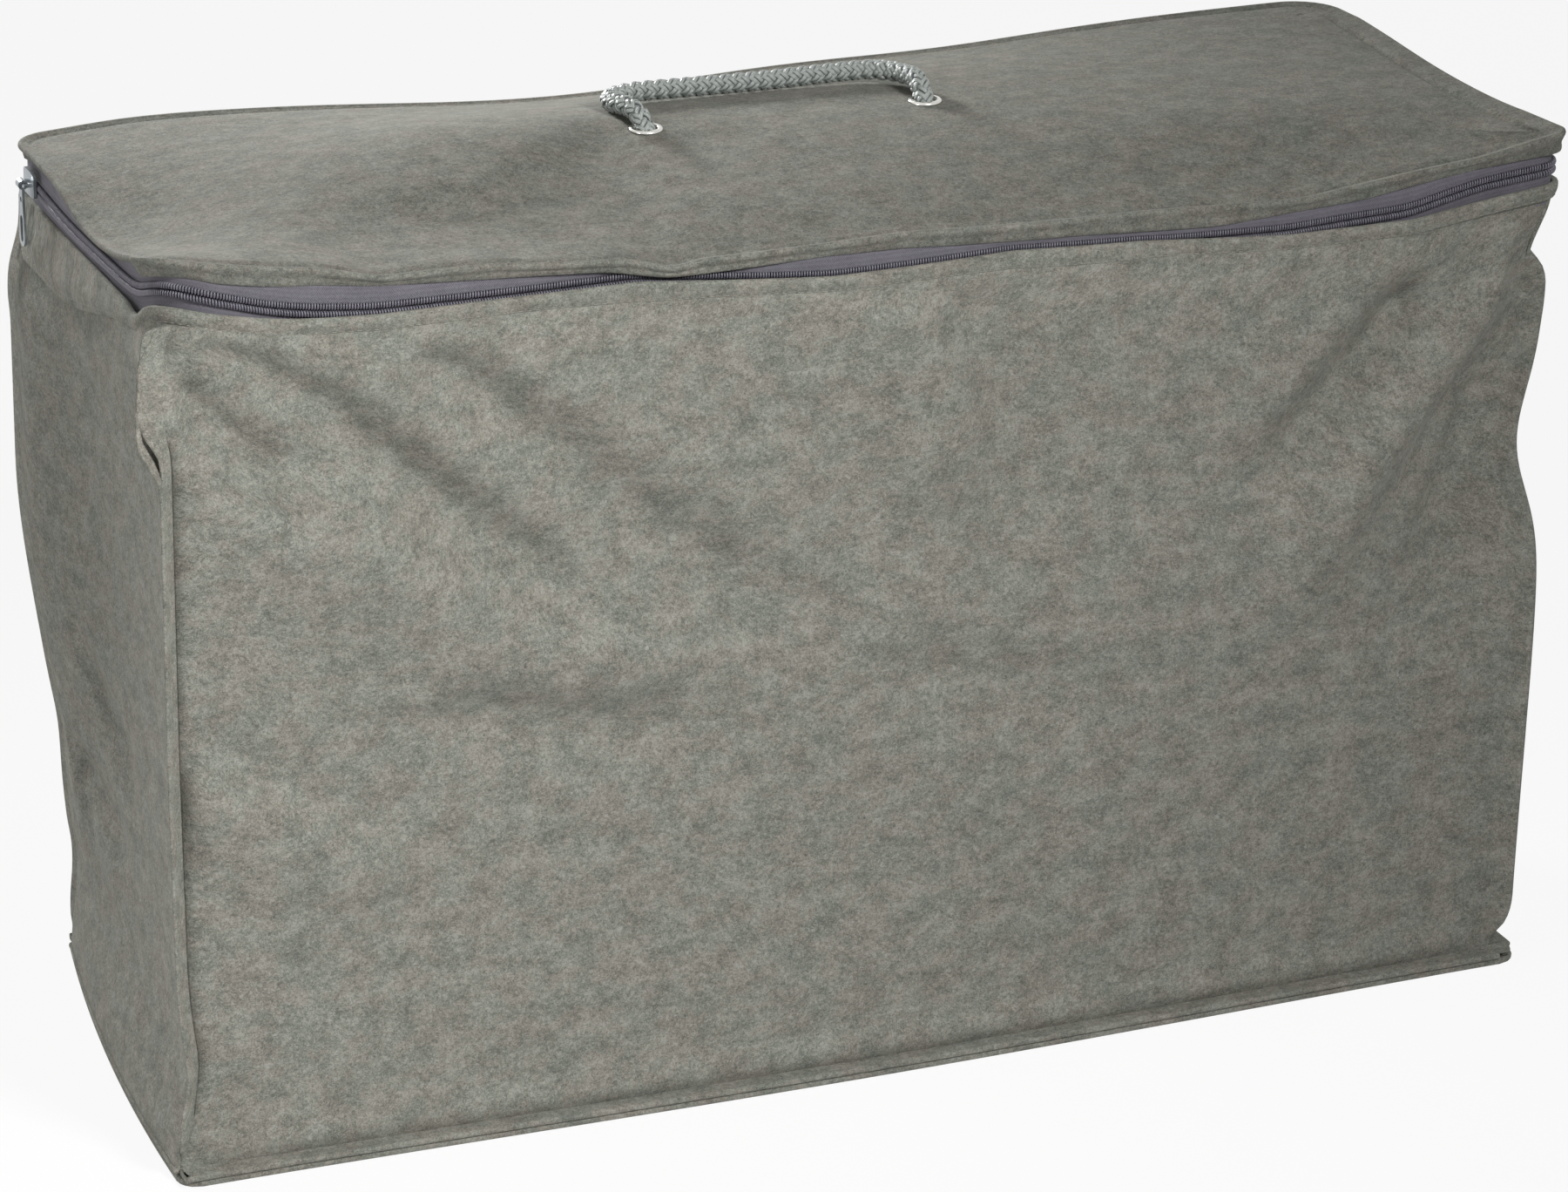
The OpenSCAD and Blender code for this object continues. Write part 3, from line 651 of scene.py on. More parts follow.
def seamAngle(hand, side, z):  # 0 is straight on from the long wall, 90 straight on from the end wall
    if side < 0 and hand < 0:
        more = (seam["leftAngle"] - seam["topAngle"]) * ease(*seam["leftTurn"], z)
        return np.radians(seam["topAngle"] + more)
    if side < 0:
        return np.radians(seam["angle"] + bells(z, seam["rightTurn"]))
    return np.radians((seam["backAngle"] if hand < 0 else seam["angle"]) + 0 * z)


def seamReach(z, hand, side):
    low, high = seam["footRound"]
    start, end = seam["rightTop"] if side < 0 and hand > 0 else (z.max() - seam["topRound"], z.max() + 1)
    foot = 1 - np.clip((high - z) / (high - low), 0, 1) ** 2
    rim = 1 - np.clip((z - start) / (end - start), 0, 1) ** 2
    return seam["reach"] * np.sqrt(np.clip(foot * rim, seam["least"], 1))


def seamRoot(hand, side, z):
    r = cornerR(hand, side) - felt / 2
    cut = diagonal * r * (1 - squareAt(wallTop - z))
    dx, dy = seamShift(hand, side, z)
    x = hand * (endXAt(side * halfD, z) + flareAt(hand, z) - cut) + dx
    return x, side * (halfD - felt / 2 - cut) + dy


# way of the sewn edge, start of one of its layers, the felt that the bend takes, and the layer's offset
def seamLayers(hand, side, z, onLong):
    bend = np.radians(45) * (1 - squareAt(wallTop - z))
    turn = seamAngle(hand, side, z)
    way = np.stack([hand * np.cos(turn), side * np.sin(turn)], -1)
    across = np.stack([-hand * np.sin(turn), side * np.cos(turn)], -1)
    half = felt / 2 - seam["overlap"]  # the two layers are pressed together
    longTurn, endTurn = bend + turn, np.pi / 2 - turn + bend
    share = ease(-seam["swap"], seam["swap"], longTurn - endTurn)
    longOff = (1 - share) * half * np.sin(longTurn) + share * (2 * half - half * np.sin(endTurn))
    if onLong:
        off, mine, sign = longOff, longTurn, 1
    else:
        off, mine, sign = 2 * half - longOff, endTurn, -1
    aside = sign * across * off[..., None]
    return way, aside - way * (off / np.tan(mine))[..., None], off / np.sin(mine), aside


# Walls

wall = {
    "turn": 2.2, "strip": 10.0, "stripRows": (1, 0.75, 0.55), "stripZ": 1.5 * felt + 0.25, "cornerR": 9.0,
    "longColumns": 170, "endColumns": 64, "rows": 92, "edgeSteps": (1.2, 2.6, 4.2, 6.0, 8.0, 9.4, 10.5),
    "rimGaps": (14, 9, 5.5, 3, 1.4, 0.4),  # last rows under the rim band
    "overhang": 3.8, "overhangPlace": (13, 6.5), "overhangEnds": (4, 40),
    "flare": 12.0, "flareSpan": (5, 60), "leftOut": 0.14, "levelSpan": (40, 200),
    "groove": 3.2, "groovePlace": (2.0, 2.0), "grooveFoot": (24, 40),  # the line of the front left seam
    "setBack": 3.4, "setBackWidth": 15,  # the left end under its rim band
    "longBlend": 62, "endBlend": 60, "frontLeftBlend": 22, "footSpan": (6, 40), "footRise": 4.0,
    # how near a seam or the rim the folds run out
    "foldLeft": (0, 14), "foldRight": (2, 26), "foldTop": (1, 16), "foldEnd": (0, 30),
    "longBunch": 0.3, "endBunch": 0.25, "edgeSpread": 0.12,
}


def bunched(count, share):  # places from -1 to 1, closer together at the ends
    s = np.linspace(-1, 1, count)
    return s * (1 + share - share * s * s)


def footRows():
    bend = np.radians(np.arange(0, 91, 15))
    flat = wall["strip"] * np.array(wall["stripRows"])
    out = np.concatenate([flat, wall["turn"] * (1 - np.sin(bend))])
    rise = np.concatenate([0 * flat, wall["turn"] * (1 - np.cos(bend))])
    return out, wall["stripZ"] + rise


footOut, footZ = footRows()
rimGaps = np.array(wall["rimGaps"])
rowOut = np.concatenate([footOut, np.zeros(wall["rows"] + len(rimGaps))])
upright = rowOut < 0.3  # rows above the turned-out foot


def wallRows(top):  # heights of a wall's rows for each column, given the top of its felt
    share = np.linspace(0, 1, wall["rows"] + 2)[1:-1]
    low = footZ[-1]
    high = top - rimGaps[0]
    mid = low + share[None, :] * (high - low)[:, None]
    rim = top[:, None] - rimGaps[None, :]
    return np.concatenate([np.broadcast_to(footZ, (len(top), len(footZ))), mid, rim], 1)


def panelTop(x, y, back):  # top of a panel's felt, under the rim band
    if back:
        return wallTop + backRaise(x) - bag["band"] - bag["bandGap"]
    return wallTop - sagAt(x) * frontness(y) + rimLift(x, y) - bag["bandGap"] - bandHeight(x, y)


# Folds of the front: each a valley along a line, or a ridge where it is negative, with ridges beside it

frontFolds = [
    {"line": [(-316, 390), (-259, 345), (-226, 317), (-185, 281), (-136, 232), (-112, 206)],
     "valley": 11.0, "above": 4.0, "below": 5.0, "width": 9.5, "soft": 2.6, "widen": 2.0, "fade": 0.66},
    {"line": [(-200, 356), (-150, 312), (-115, 279), (-51, 228), (-20, 205)],
     "valley": 9.5, "above": 4.0, "below": 3.0, "width": 12.0, "soft": 1.9, "widen": 1.5, "fade": 0.66},
    {"line": [(-326, 368), (-286, 328), (-263, 315), (-240, 306)],
     "valley": 11.0, "above": 2.5, "below": 3.0, "width": 8.0, "soft": 2.0, "widen": 1.5, "fade": 0.55},
    {"line": [(-262, 292), (-192, 250), (-129, 217), (-90, 204)],
     "valley": -13.0, "above": 0.0, "below": 0.0, "width": 17.0, "soft": 2.2, "widen": 1.0, "fade": 0.7},
    {"line": [(-316, 182), (-279, 159), (-249, 139), (-214, 120)],
     "valley": -10.0, "above": -2.5, "below": 0.0, "width": 9.0, "soft": 3.2, "widen": 1.3, "fade": 0.62},
    {"line": [(0, 372), (20, 326), (28, 286), (30, 240)],
     "valley": -11.0, "above": -3.5, "below": 0.0, "width": 14.0, "soft": 1.6, "widen": 1.6, "fade": 0.5},
    {"line": [(318, 352), (260, 294), (230, 261), (202, 213), (184, 176)],
     "valley": -17.0, "above": 0.0, "below": 0.0, "width": 12.0, "soft": 1.3, "widen": 1.6, "fade": 0.6},
    {"line": [(250, 332), (236, 316), (199, 276), (178, 242)],
     "valley": 13.0, "above": 0.0, "below": 4.0, "width": 11.0, "soft": 1.3, "widen": 1.3, "fade": 0.5},
    {"line": [(313, 356), (288, 308), (264, 256), (240, 205)],
     "valley": 5.0, "above": 0.0, "below": 0.0, "width": 4.5, "soft": 1.4, "widen": 1.8, "fade": 0.5},
    {"line": [(-190, 200), (-122, 187), (-62, 176)],
     "valley": 6.5, "above": 2.0, "below": 1.5, "width": 13.0, "soft": 2.2, "widen": 1.2, "fade": 0.6},
    {"line": [(20, 194), (60, 178), (110, 158)],
     "valley": 5.5, "above": 1.5, "below": 1.5, "width": 16.0, "soft": 1.8, "widen": 1.2, "fade": 0.6},
]


# signed distance to a line of points, positive on its upper right, and the share along it
def besideLine(x, z, line):
    best, share = np.full(x.shape, 1e9), np.zeros(x.shape)
    pieces = np.array(line, float)
    lengths = np.linalg.norm(np.diff(pieces, axis=0), axis=1)
    done = 0.0
    for (ax, az), (bx, bz), length in zip(pieces[:-1], pieces[1:], lengths):
        t = np.clip(((x - ax) * (bx - ax) + (z - az) * (bz - az)) / length ** 2, 0, 1)
        offX, offZ = x - ax - t * (bx - ax), z - az - t * (bz - az)
        far = np.hypot(offX, offZ) * np.where(offX * (az - bz) + offZ * (bx - ax) < 0, -1, 1)
        near = np.abs(far) < np.abs(best)
        best = np.where(near, far, best)
        share = np.where(near, (done + t * length) / lengths.sum(), share)
        done += length
    return best, share


besideFold = {"place": 1.9, "width": 1.3}  # the ridges beside a valley, by the valley's width


def foldDepth(x, z, folds):
    total = np.zeros(x.shape)
    for fold in folds:
        far, share = besideLine(x, z, fold["line"])
        width = fold["width"] * (1 + (fold["widen"] - 1) * share)
        strength = 1 - ease(fold["fade"], 1.0, share)
        spread = np.where(far < 0, width * fold["soft"], width)  # the lower side runs out more gently
        total -= fold["valley"] * strength * bell(far / spread, 0, 1)
        place, broad = besideFold["place"] * width, besideFold["width"] * width
        total += fold["above"] * strength * bell(far, place, broad)
        total += fold["below"] * strength * bell(far, -place, broad)
    return total


rightTuck = {  # the front's upper right corner, folded back along a sharp crease
    "line": [(316, 362), (288, 308), (264, 256), (240, 205), (224, 165)],
    "depth": 16.0, "across": (-2, 30), "fade": (0.55, 1.0), "top": (374, 345),
    "rim": (2, 20), "seam": (0, 34),
}


def tuckDepth(x, z):
    crease, share = besideLine(x, z, rightTuck["line"])
    depth = rightTuck["depth"] * ease(*rightTuck["across"], crease)
    return depth * (1 - ease(*rightTuck["fade"], share)) * ease(*rightTuck["top"], z)


def frontRelief(x, z, fromLeft, fromRight, fromTop):  # folds, seam line and tuck of the front, inwards
    foot = ease(*wall["footSpan"], z)
    inside = ease(*wall["foldLeft"], fromLeft) * ease(*wall["foldRight"], fromRight)
    inside = inside * foot * ease(*wall["foldTop"], fromTop)
    groove = wall["groove"] * bell(fromLeft, *wall["groovePlace"]) * ease(*wall["grooveFoot"], z) * upright
    tucked = tuckDepth(x, z) * foot * ease(*rightTuck["rim"], fromTop) * ease(*rightTuck["seam"], fromRight)
    return groove - foldDepth(x, z, frontFolds) * inside + tucked


def footExtent(hand):  # how far a long wall's turned-out foot runs past its seam
    r = wall["cornerR"]
    out = 1 + np.sqrt(np.clip(r ** 2 - np.clip(rowOut - 1, 0, r) ** 2, 0, None))
    return out * (wall["leftOut"] if hand < 0 else 1)


edgeShares = np.array(wall["edgeSteps"]) / wall["edgeSteps"][-1]


def withSeams(panel, strips):
    grid = np.concatenate([np.stack(strips[0])[::-1], panel, np.stack(strips[1])])
    grid[..., 1] += rackAt(grid)
    return grid


def longWall(side):
    u = bunched(wall["longColumns"], wall["longBunch"])
    top = panelTop(u * halfW, np.full(len(u), side * halfD), side > 0)
    z = wallRows(top)
    lift = (wallTop - bag["band"] - bag["bandGap"] - top)[:, None] if side < 0 else 0
    level = z + lift * ease(*wall["levelSpan"], z)  # height as if the rim were level
    depth = wallTop - level
    roots = {hand: seamRoot(hand, side, level) for hand in (-1, 1)}
    trims = {hand: seamLayers(hand, side, level, True)[2] for hand in (-1, 1)}
    t = (u[:, None] + 1) / 2
    x = (roots[-1][0] + trims[-1]) * (1 - t) + (roots[1][0] - trims[1]) * t
    fromLeft, fromRight = x - roots[-1][0], roots[1][0] - x
    overhang = wall["overhang"] * bell(z, *wall["overhangPlace"]) * upright
    overhang = overhang * ease(*wall["overhangEnds"], fromLeft) * ease(*wall["overhangEnds"], fromRight)
    out = wallYAt(side, x, z, depth) + overhang
    for hand in (-1, 1):
        r = cornerR(hand, side) - felt / 2
        edge = hand * endXAt(side * halfD, level) + seamShift(hand, side, level)[0]
        out -= roundingAt(hand * (x - edge) + r, r) * (1 - squareAt(depth))
    y = side * (out + rowOut[None, :])
    for hand in (-1, 1):
        y += seamShift(hand, side, level)[1] * bell(x, roots[hand][0], wall["longBlend"])
    if side < 0:
        y += frontRelief(x, z, fromLeft, fromRight, top[:, None] - z)
    panel = np.stack([x, y, z], -1)
    strips = []
    for hand, column in ((-1, 0), (1, -1)):
        way, start, ends, aside = seamLayers(hand, side, level[column], True)
        reach = seamReach(z[column], hand, side)
        strips.append([])
        for share in edgeShares:
            move = start + way * (share * reach)[:, None] - aside * seam["press"] * share
            move[:, 0] += hand * ends
            flat = hand * (ends + (footExtent(hand) - ends) * share)
            here = panel[column].copy()
            here[:, 0] += np.where(upright, move[:, 0], flat)
            here[:, 1] += np.where(upright, move[:, 1], 0)
            strips[-1].append(here)
    return withSeams(panel, strips)


endFolds = {
    -1: [{"line": [(95, 114), (57, 106), (-8, 97)],
          "valley": 3.4, "above": 1.8, "below": 0.6, "width": 7.0, "soft": 1.5, "widen": 2.0, "fade": 0.6},
         {"line": [(60, 175), (38, 158), (-26, 128)],
          "valley": 2.6, "above": 1.4, "below": 0.4, "width": 8.0, "soft": 1.5, "widen": 1.8, "fade": 0.6},
         {"line": [(86, 108), (60, 70)],
          "valley": 2.0, "above": 0.8, "below": 0.4, "width": 8.0, "soft": 1.5, "widen": 1.5, "fade": 0.5}],
    1: [{"line": [(-96, 262), (-40, 232), (10, 214)],
         "valley": 3.6, "above": 1.6, "below": 0.6, "width": 9.0, "soft": 1.5, "widen": 2.0, "fade": 0.5},
        {"line": [(100, 186), (48, 150), (0, 128)],
         "valley": 2.6, "above": 1.2, "below": 0.6, "width": 9.0, "soft": 1.5, "widen": 1.8, "fade": 0.5}],
}


def endWall(hand):
    u = bunched(wall["endColumns"], wall["endBunch"])
    top = panelTop(np.full(len(u), hand * halfW), u * halfD, False)
    z = wallRows(top)
    roots = {side: seamRoot(hand, side, z) for side in (-1, 1)}
    trims = {side: seamLayers(hand, side, z, False)[2] for side in (-1, 1)}
    t = (u[:, None] + 1) / 2
    y = (roots[-1][1] + trims[-1]) * (1 - t) + (roots[1][1] - trims[1]) * t
    x = endXAt(y, z)
    for side in (-1, 1):
        r = cornerR(hand, side) - felt / 2
        edge = side * (halfD - felt / 2) + seamShift(hand, side, z)[1]
        x -= roundingAt(side * (y - edge) + r, r) * (1 - squareAt(wallTop - z))
    strip = rowOut[None, :] * (wall["leftOut"] if hand < 0 else 1)
    x = hand * (x + strip + flareAt(hand, z))
    for side in (-1, 1):
        blend = wall["frontLeftBlend"] if hand < 0 and side < 0 else wall["endBlend"]
        x += seamShift(hand, side, z)[0] * bell(y, roots[side][1], blend)
    if hand < 0:
        x += wall["setBack"] * leftDrop(x, y) * bell(z, top[:, None], wall["setBackWidth"])
    inside = ease(*wall["foldEnd"], y - roots[-1][1]) * ease(*wall["foldEnd"], roots[1][1] - y)
    x += hand * foldDepth(y, z, endFolds[hand]) * inside * ease(*wall["footSpan"], z)
    panel = np.stack([x, y, z], -1)
    strips = []
    for side, column in ((-1, 0), (1, -1)):
        foot = (z[column] < footZ[-1] + wall["footRise"])[:, None]
        way, start, _, aside = seamLayers(hand, side, z[column], False)
        reach = seamReach(z[column], hand, side)
        root = np.stack(seamRoot(hand, side, z[column]), -1)
        strips.append([])
        for share, step in zip(edgeShares, wall["edgeSteps"]):
            spread = start + way * (share * reach)[:, None] - aside * seam["press"] * share
            here = panel[column].copy()
            here[:, :2] = np.where(foot, here[:, :2] + [0, side * wall["edgeSpread"] * step], root + spread)
            strips[-1].append(here)
    return withSeams(panel, strips)


def pressedThick(grid):  # the felt of a sewn edge thins towards its cut
    share = np.concatenate([edgeShares[::-1], np.zeros(len(grid) - 2 * len(edgeShares)), edgeShares])
    return felt * (1 - seam["press"] * share[:, None] * upright)


wallGrids = {"front": longWall(-1), "back": longWall(1), "left_end": endWall(-1), "right_end": endWall(1)}
for wallName, grid in wallGrids.items():
    piece = feltShell(wallName + "_felt", grid, pressedThick(grid), wallFelt)
    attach(piece, "base")
    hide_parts(wallName + "_panel")
    size = (0.672, 0.405) if wallName in ("front", "back") else (0.264, 0.405)
print("walls made")


# Base: one flat sheet out to the edges of the turned-out walls

floorSheet = {"columns": 111, "columnBunch": 0.3, "rows": 49, "rowBunch": 0.4, "inset": 0.6, "thin": 0.1}


def baseGrid():
    u = bunched(floorSheet["columns"], floorSheet["columnBunch"])[:, None]
    r = wall["cornerR"]
    edge = halfD - felt / 2 + wall["strip"] - floorSheet["inset"]
    y = bunched(floorSheet["rows"], floorSheet["rowBunch"]) * edge
    near = np.clip(np.abs(y) - (edge - r), 0, r)
    out = np.where(u < 0, wall["flare"] + wall["leftOut"] * wall["strip"], wall["strip"])
    x = u * (endXAt(y, 0) + out - floorSheet["inset"] - (r - np.sqrt(r ** 2 - near ** 2)))
    y = y * (1 + hump(x, halfW) * bag["baseBow"] / edge)
    grid = np.stack([x, y, 0 * x], -1)
    grid[..., 1] += rackAt(grid)
    grid[..., 2] = felt / 2
    return grid


baseFelt = feltShell("base_felt", baseGrid(), felt - floorSheet["thin"], wallFelt)
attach(baseFelt, "base")
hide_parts("base_panel")
print("base made")


# Rim: the walk round the bag that the rim band and the zip follow

def tipAt(x, y):  # nearness to the front right corner
    return bell(x, halfW, bag["tipWidth"]) * bell(y, -halfD, bag["tipWidth"])


def rimWalk(inset, step):  # places and outward ways, from the middle of the back, leftwards
    spots, ways = [], []

    def line(a, b, way):
        n = max(2, int(np.hypot(*(np.array(b) - a)) / step))
        t = np.linspace(0, 1, n, endpoint=False)[:, None]
        spots.append(np.array(a) + t * (np.array(b) - a))
        ways.append(np.tile(way, (n, 1)))

    def arc(hand, side, r, start):
        n = max(6, int(r * math.pi / 2 / step))
        a = np.radians(start + np.linspace(0, 90, n, endpoint=False))
        way = np.stack([np.cos(a), np.sin(a)], -1)
        spots.append(np.array([hand * (halfW - r), side * (halfD - r)]) + (r - inset) * way)
        ways.append(way)

    bl, fl, fr, br = (cornerR(*corner) for corner in ((-1, 1), (-1, -1), (1, -1), (1, 1)))
    w, d = halfW - inset, halfD - inset
    line((0, d), (bl - halfW, d), (0, 1))
    arc(-1, 1, bl, 90)
    line((-w, halfD - bl), (-w, fl - halfD), (-1, 0))
    arc(-1, -1, fl, 180)
    line((fl - halfW, -d), (halfW - fr, -d), (0, -1))
    arc(1, -1, fr, 270)
    line((w, fr - halfD), (w, halfD - br), (1, 0))
    arc(1, 1, br, 0)
    line((halfW - br, d), (0, d), (0, 1))
    spots, ways = np.concatenate(spots), np.concatenate(ways)
    spots[:, 1] -= rimBowAt(spots[:, 0]) * np.clip(-ways[:, 1], 0, 1)
    spots[:, 0] += bag["rimTip"] * tipAt(*spots.T)
    return spots, ways


rimBand = {
    "step": 3.2, "rows": (0.0, 0.12, 0.3, 0.5, 0.7, 0.88, 1.0), "edge": 1.1, "puff": 0.5, "flare": 1.2,
    "pinchFlare": 1.6, "pinchShift": -6, "ridgePlace": (0.34, 0.2),
}


def makeRimBand():
    spots, ways = rimWalk(felt / 2, rimBand["step"])
    x, y = spots.T
    front, back = np.clip(-ways[:, 1], 0, 1), np.clip(ways[:, 1], 0, 1)
    top = wallTop - sagAt(x) * front + rimLift(x, y) * (1 - back) + backRaise(x) * back
    pinch = bell(x, slack["pinch"] + rimBand["pinchShift"], slack["pinchWidth"]) * frontness(y)
    rows = []
    for share in rimBand["rows"]:
        z = top - rimBand["edge"] - (1 - share) * (bandHeight(x, y) - 2 * rimBand["edge"])
        out = rimBand["puff"] * math.sin(math.pi * share)
        out = out + (rimBand["flare"] + rimBand["pinchFlare"] * pinch) * share
        left = slack["leftRidge"] * bell(share, *rimBand["ridgePlace"])
        left = left - (slack["leftLean"] + rimBand["flare"]) * share
        out = (out + left * leftDrop(x, y)) * (1 - back)
        rows.append(np.column_stack([spots + ways * out[:, None], z]))
    grid = np.stack(rows, 1)
    piece = feltShell("rim_band", grid, felt, wallFelt, wrap=True)
    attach(piece, "base")
    return grid


bandGrid = makeRimBand()
print("rim band made")


# Zip: two woven tapes and two coils of nylon, along the rim and round its back corners

zipper = {
    "inset": 4.0, "backStart": 12, "backReach": 60.0, "pinchIn": 2.2, "pinchWidth": 46, "tipOut": 1.5,
    "tape": 0.8, "tapeStep": 3.0, "tapeRows": 7, "low": (-16.8, -0.8), "high": (0.8, 11.7),
    "lidGap": 0.6, "least": 0.2,
    "ripples": [(0.25, 17, 0), (0.15, 7.3, 1)], "rippleRow": 8,  # size, length and start of each ripple
    "leftLean": 1.0, "leftLonger": 0.6, "leanSpan": (-6, -13),
    "coil": (0.72, 2.18, 0.52, 2.9),  # nearest and farthest out, lowest and highest
    "wire": 0.50, "pitch": 1.25, "upright": 0.8, "turnPoints": 10, "wireSides": 5,
    "coilStep": 1.5, "coilEnd": 21.0,
}


def zipRoute(step, yEnd=None):
    spots, ways = rimWalk(zipper["inset"], step)
    x, y = spots.T
    if yEnd is None:
        keep = (y < halfD - zipper["backStart"]) | (np.abs(x) > halfW - zipper["backReach"])
    else:
        keep = y < yEnd
    spots, ways = spots[keep], ways[keep]
    x, y = spots.T
    front, back = np.clip(-ways[:, 1], 0, 1), np.clip(ways[:, 1], 0, 1)
    z = zipZ - sagAt(x) * front + zipLift(x, y) * (1 - back)
    inward = zipper["pinchIn"] * bell(x, slack["pinch"], zipper["pinchWidth"]) * front
    inward = inward - zipper["tipOut"] * tipAt(x, y)
    return spots - ways * inward[:, None], ways, z


def makeTape(name, body, node, low, high):
    spots, ways, z = zipRoute(zipper["tapeStep"])
    along = np.concatenate([[0], np.cumsum(np.linalg.norm(np.diff(spots, axis=0), axis=1))])
    ripple = sum(size * np.sin(along / length + start) for size, length, start in zipper["ripples"])
    room = lidTop(*spots.T) - felt - zipper["lidGap"] - z  # the tape ends under the lid
    shrink = np.clip(room / high, zipper["least"], 1) if body == "lid" else np.ones(len(z))
    hang = leftDrop(*spots.T)
    lean = (slack["leftLean"] + zipper["leftLean"]) * hang
    rows = []
    for row in np.linspace(low, high, zipper["tapeRows"]):
        out = ripple * (row / zipper["rippleRow"]) ** 2 * np.sign(row) - lean * ease(*zipper["leanSpan"], row)
        longer = 1 + zipper["leftLonger"] * hang * (row < 0)
        rows.append(np.column_stack([spots + ways * out[:, None], z + row * shrink * longer]))
    piece = feltShell(name, np.stack(rows, 1), zipper["tape"], tapeWeave)
    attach(piece, body)
    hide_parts(node)


def makeCoil(name, body, node, up):
    spots, ways, z = zipRoute(zipper["coilStep"], halfD - zipper["coilEnd"])
    pitch, sides = zipper["pitch"], zipper["wireSides"]
    path, at = alongPath(np.column_stack([spots, z, ways]), pitch / zipper["turnPoints"])
    turn = 2 * math.pi * at / pitch + (math.pi if up else 0)
    leaned = at - zipper["upright"] * pitch / (2 * math.pi) * np.sin(turn)  # ribs stand upright in front
    path = np.stack([np.interp(leaned, at, path[:, k]) for k in range(path.shape[1])], -1)
    way = unit(path[:, 3:5])
    sign = 1 if up else -1
    outLow, outHigh, upLow, upHigh = zipper["coil"]
    out = (outLow + outHigh) / 2 + (outHigh - outLow) / 2 * np.cos(turn)
    rise = ((upLow + upHigh) / 2 + (upHigh - upLow) / 2 * np.sin(turn)) * sign
    line = np.column_stack([path[:, :2] + way * out[:, None], path[:, 2] + rise])
    tangent = unit(np.gradient(line, axis=0))
    radial = np.column_stack([way * np.cos(turn)[:, None], np.sin(turn) * sign])
    side = unit(np.cross(tangent, radial))
    ring = circleRound(line, zipper["wire"], side, zipper["wire"], np.cross(side, tangent), sides)
    flat = np.stack(np.meshgrid(at, 2 * math.pi * np.arange(sides) / sides, indexing="ij")[::-1], -1)
    faces = tubeFaces(len(line), sides)
    piece = meshPiece(name, ring.reshape(-1, 3), faces, flat.reshape(-1, 2), coilNylon)
    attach(piece, body)
    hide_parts(node)


# Lid: a slack crowned sheet with its edge folded down over the zip

lid = {
    "columns": 150, "rows": 52, "cornerSteps": 9, "corner": (16.0, 26.0, 9.0, 24.0), "inner": 31.0,
    "bowFrom": -0.1,
    "insets": (2.0, 3.2, 4.4, 5.6, 7, 8.6, 9.8, 10.8, 11.5, 12.0, 12.5, 13.2, 14.4, 16.5, 20, 25),
    "underShift": 600,
    "crown": 8.0, "backDip": 4.0, "frontZone": (-0.35, -0.98), "backZone": (0.25, 0.98),
    "leftZone": (75, 4), "leftSag": [(-11.0, -12, 58)],
    "backWaves": [(-7.5, -70, 105), (-3.0, 120, 70), (-4.0, -325, 40)],
    "cornerShare": 0.45, "puff": 7.0, "puffPlace": (-152, 8), "puffWidth": (72, 46),
    # the felt steps down in front of the handle
    "step": [(-262, 12), (-231, -22), (-200, -50), (-160, -56), (-129, -30), (-92, 4), (-40, -8), (60, -18),
             (170, -24)],
    "stepDepth": 5.5, "stepStart": (0.09, 0.23), "stepEnd": (0.42, 0.66), "stepAcross": (15, -15),
    "stepBack": (-30, -92),
    "eyeletX": 67.0, "seat": 16,  # level under the eyelets
    "tip": (325.0, -121.0, 30), "tipPull": (5.5, 3.0), "leftTip": (-325.0, -98.0, 15), "leftPull": 6.0,
    "rightIn": [(4.5, -18, 66)], "rightHalf": (0, 60), "rightStart": (12, 32), "rightEnd": (24, 44),
    "rightLift": 1.0, "rightLiftSpan": (12, 6), "rightGroove": 1.5, "stitchPlace": (12.0, 1.3),
    "groove": 1.0, "groovePlace": (5.6, 1.5), "fold": 2.0, "ridge": 1.2, "ridgePlace": (0.75, 0.5),
    "skirtLeast": 3.0, "backHem": 0.5,
    "tuckLeft": 3.4, "tuckFront": 2.6, "tuckRight": 0.3, "tuckEase": [(0.6, -98, 40)],
    "tuckPower": 1.4, "skirtPuff": [(0.8, 0.45, 0.30)],
    "foldTurns": (20, 40, 60, 80), "skirtRows": (0.1, 0.25, 0.42, 0.6, 0.78, 0.9, 1.0),
    "hemTurns": (35, 90, 145), "hemBulge": 0.8, "insideRows": (1.0, 0.5, 0.1),
}


def spotAt(x, y, place):  # nearness to a place, by its width
    px, py, width = place
    return bell(x, px, width) * bell(y, py, width)


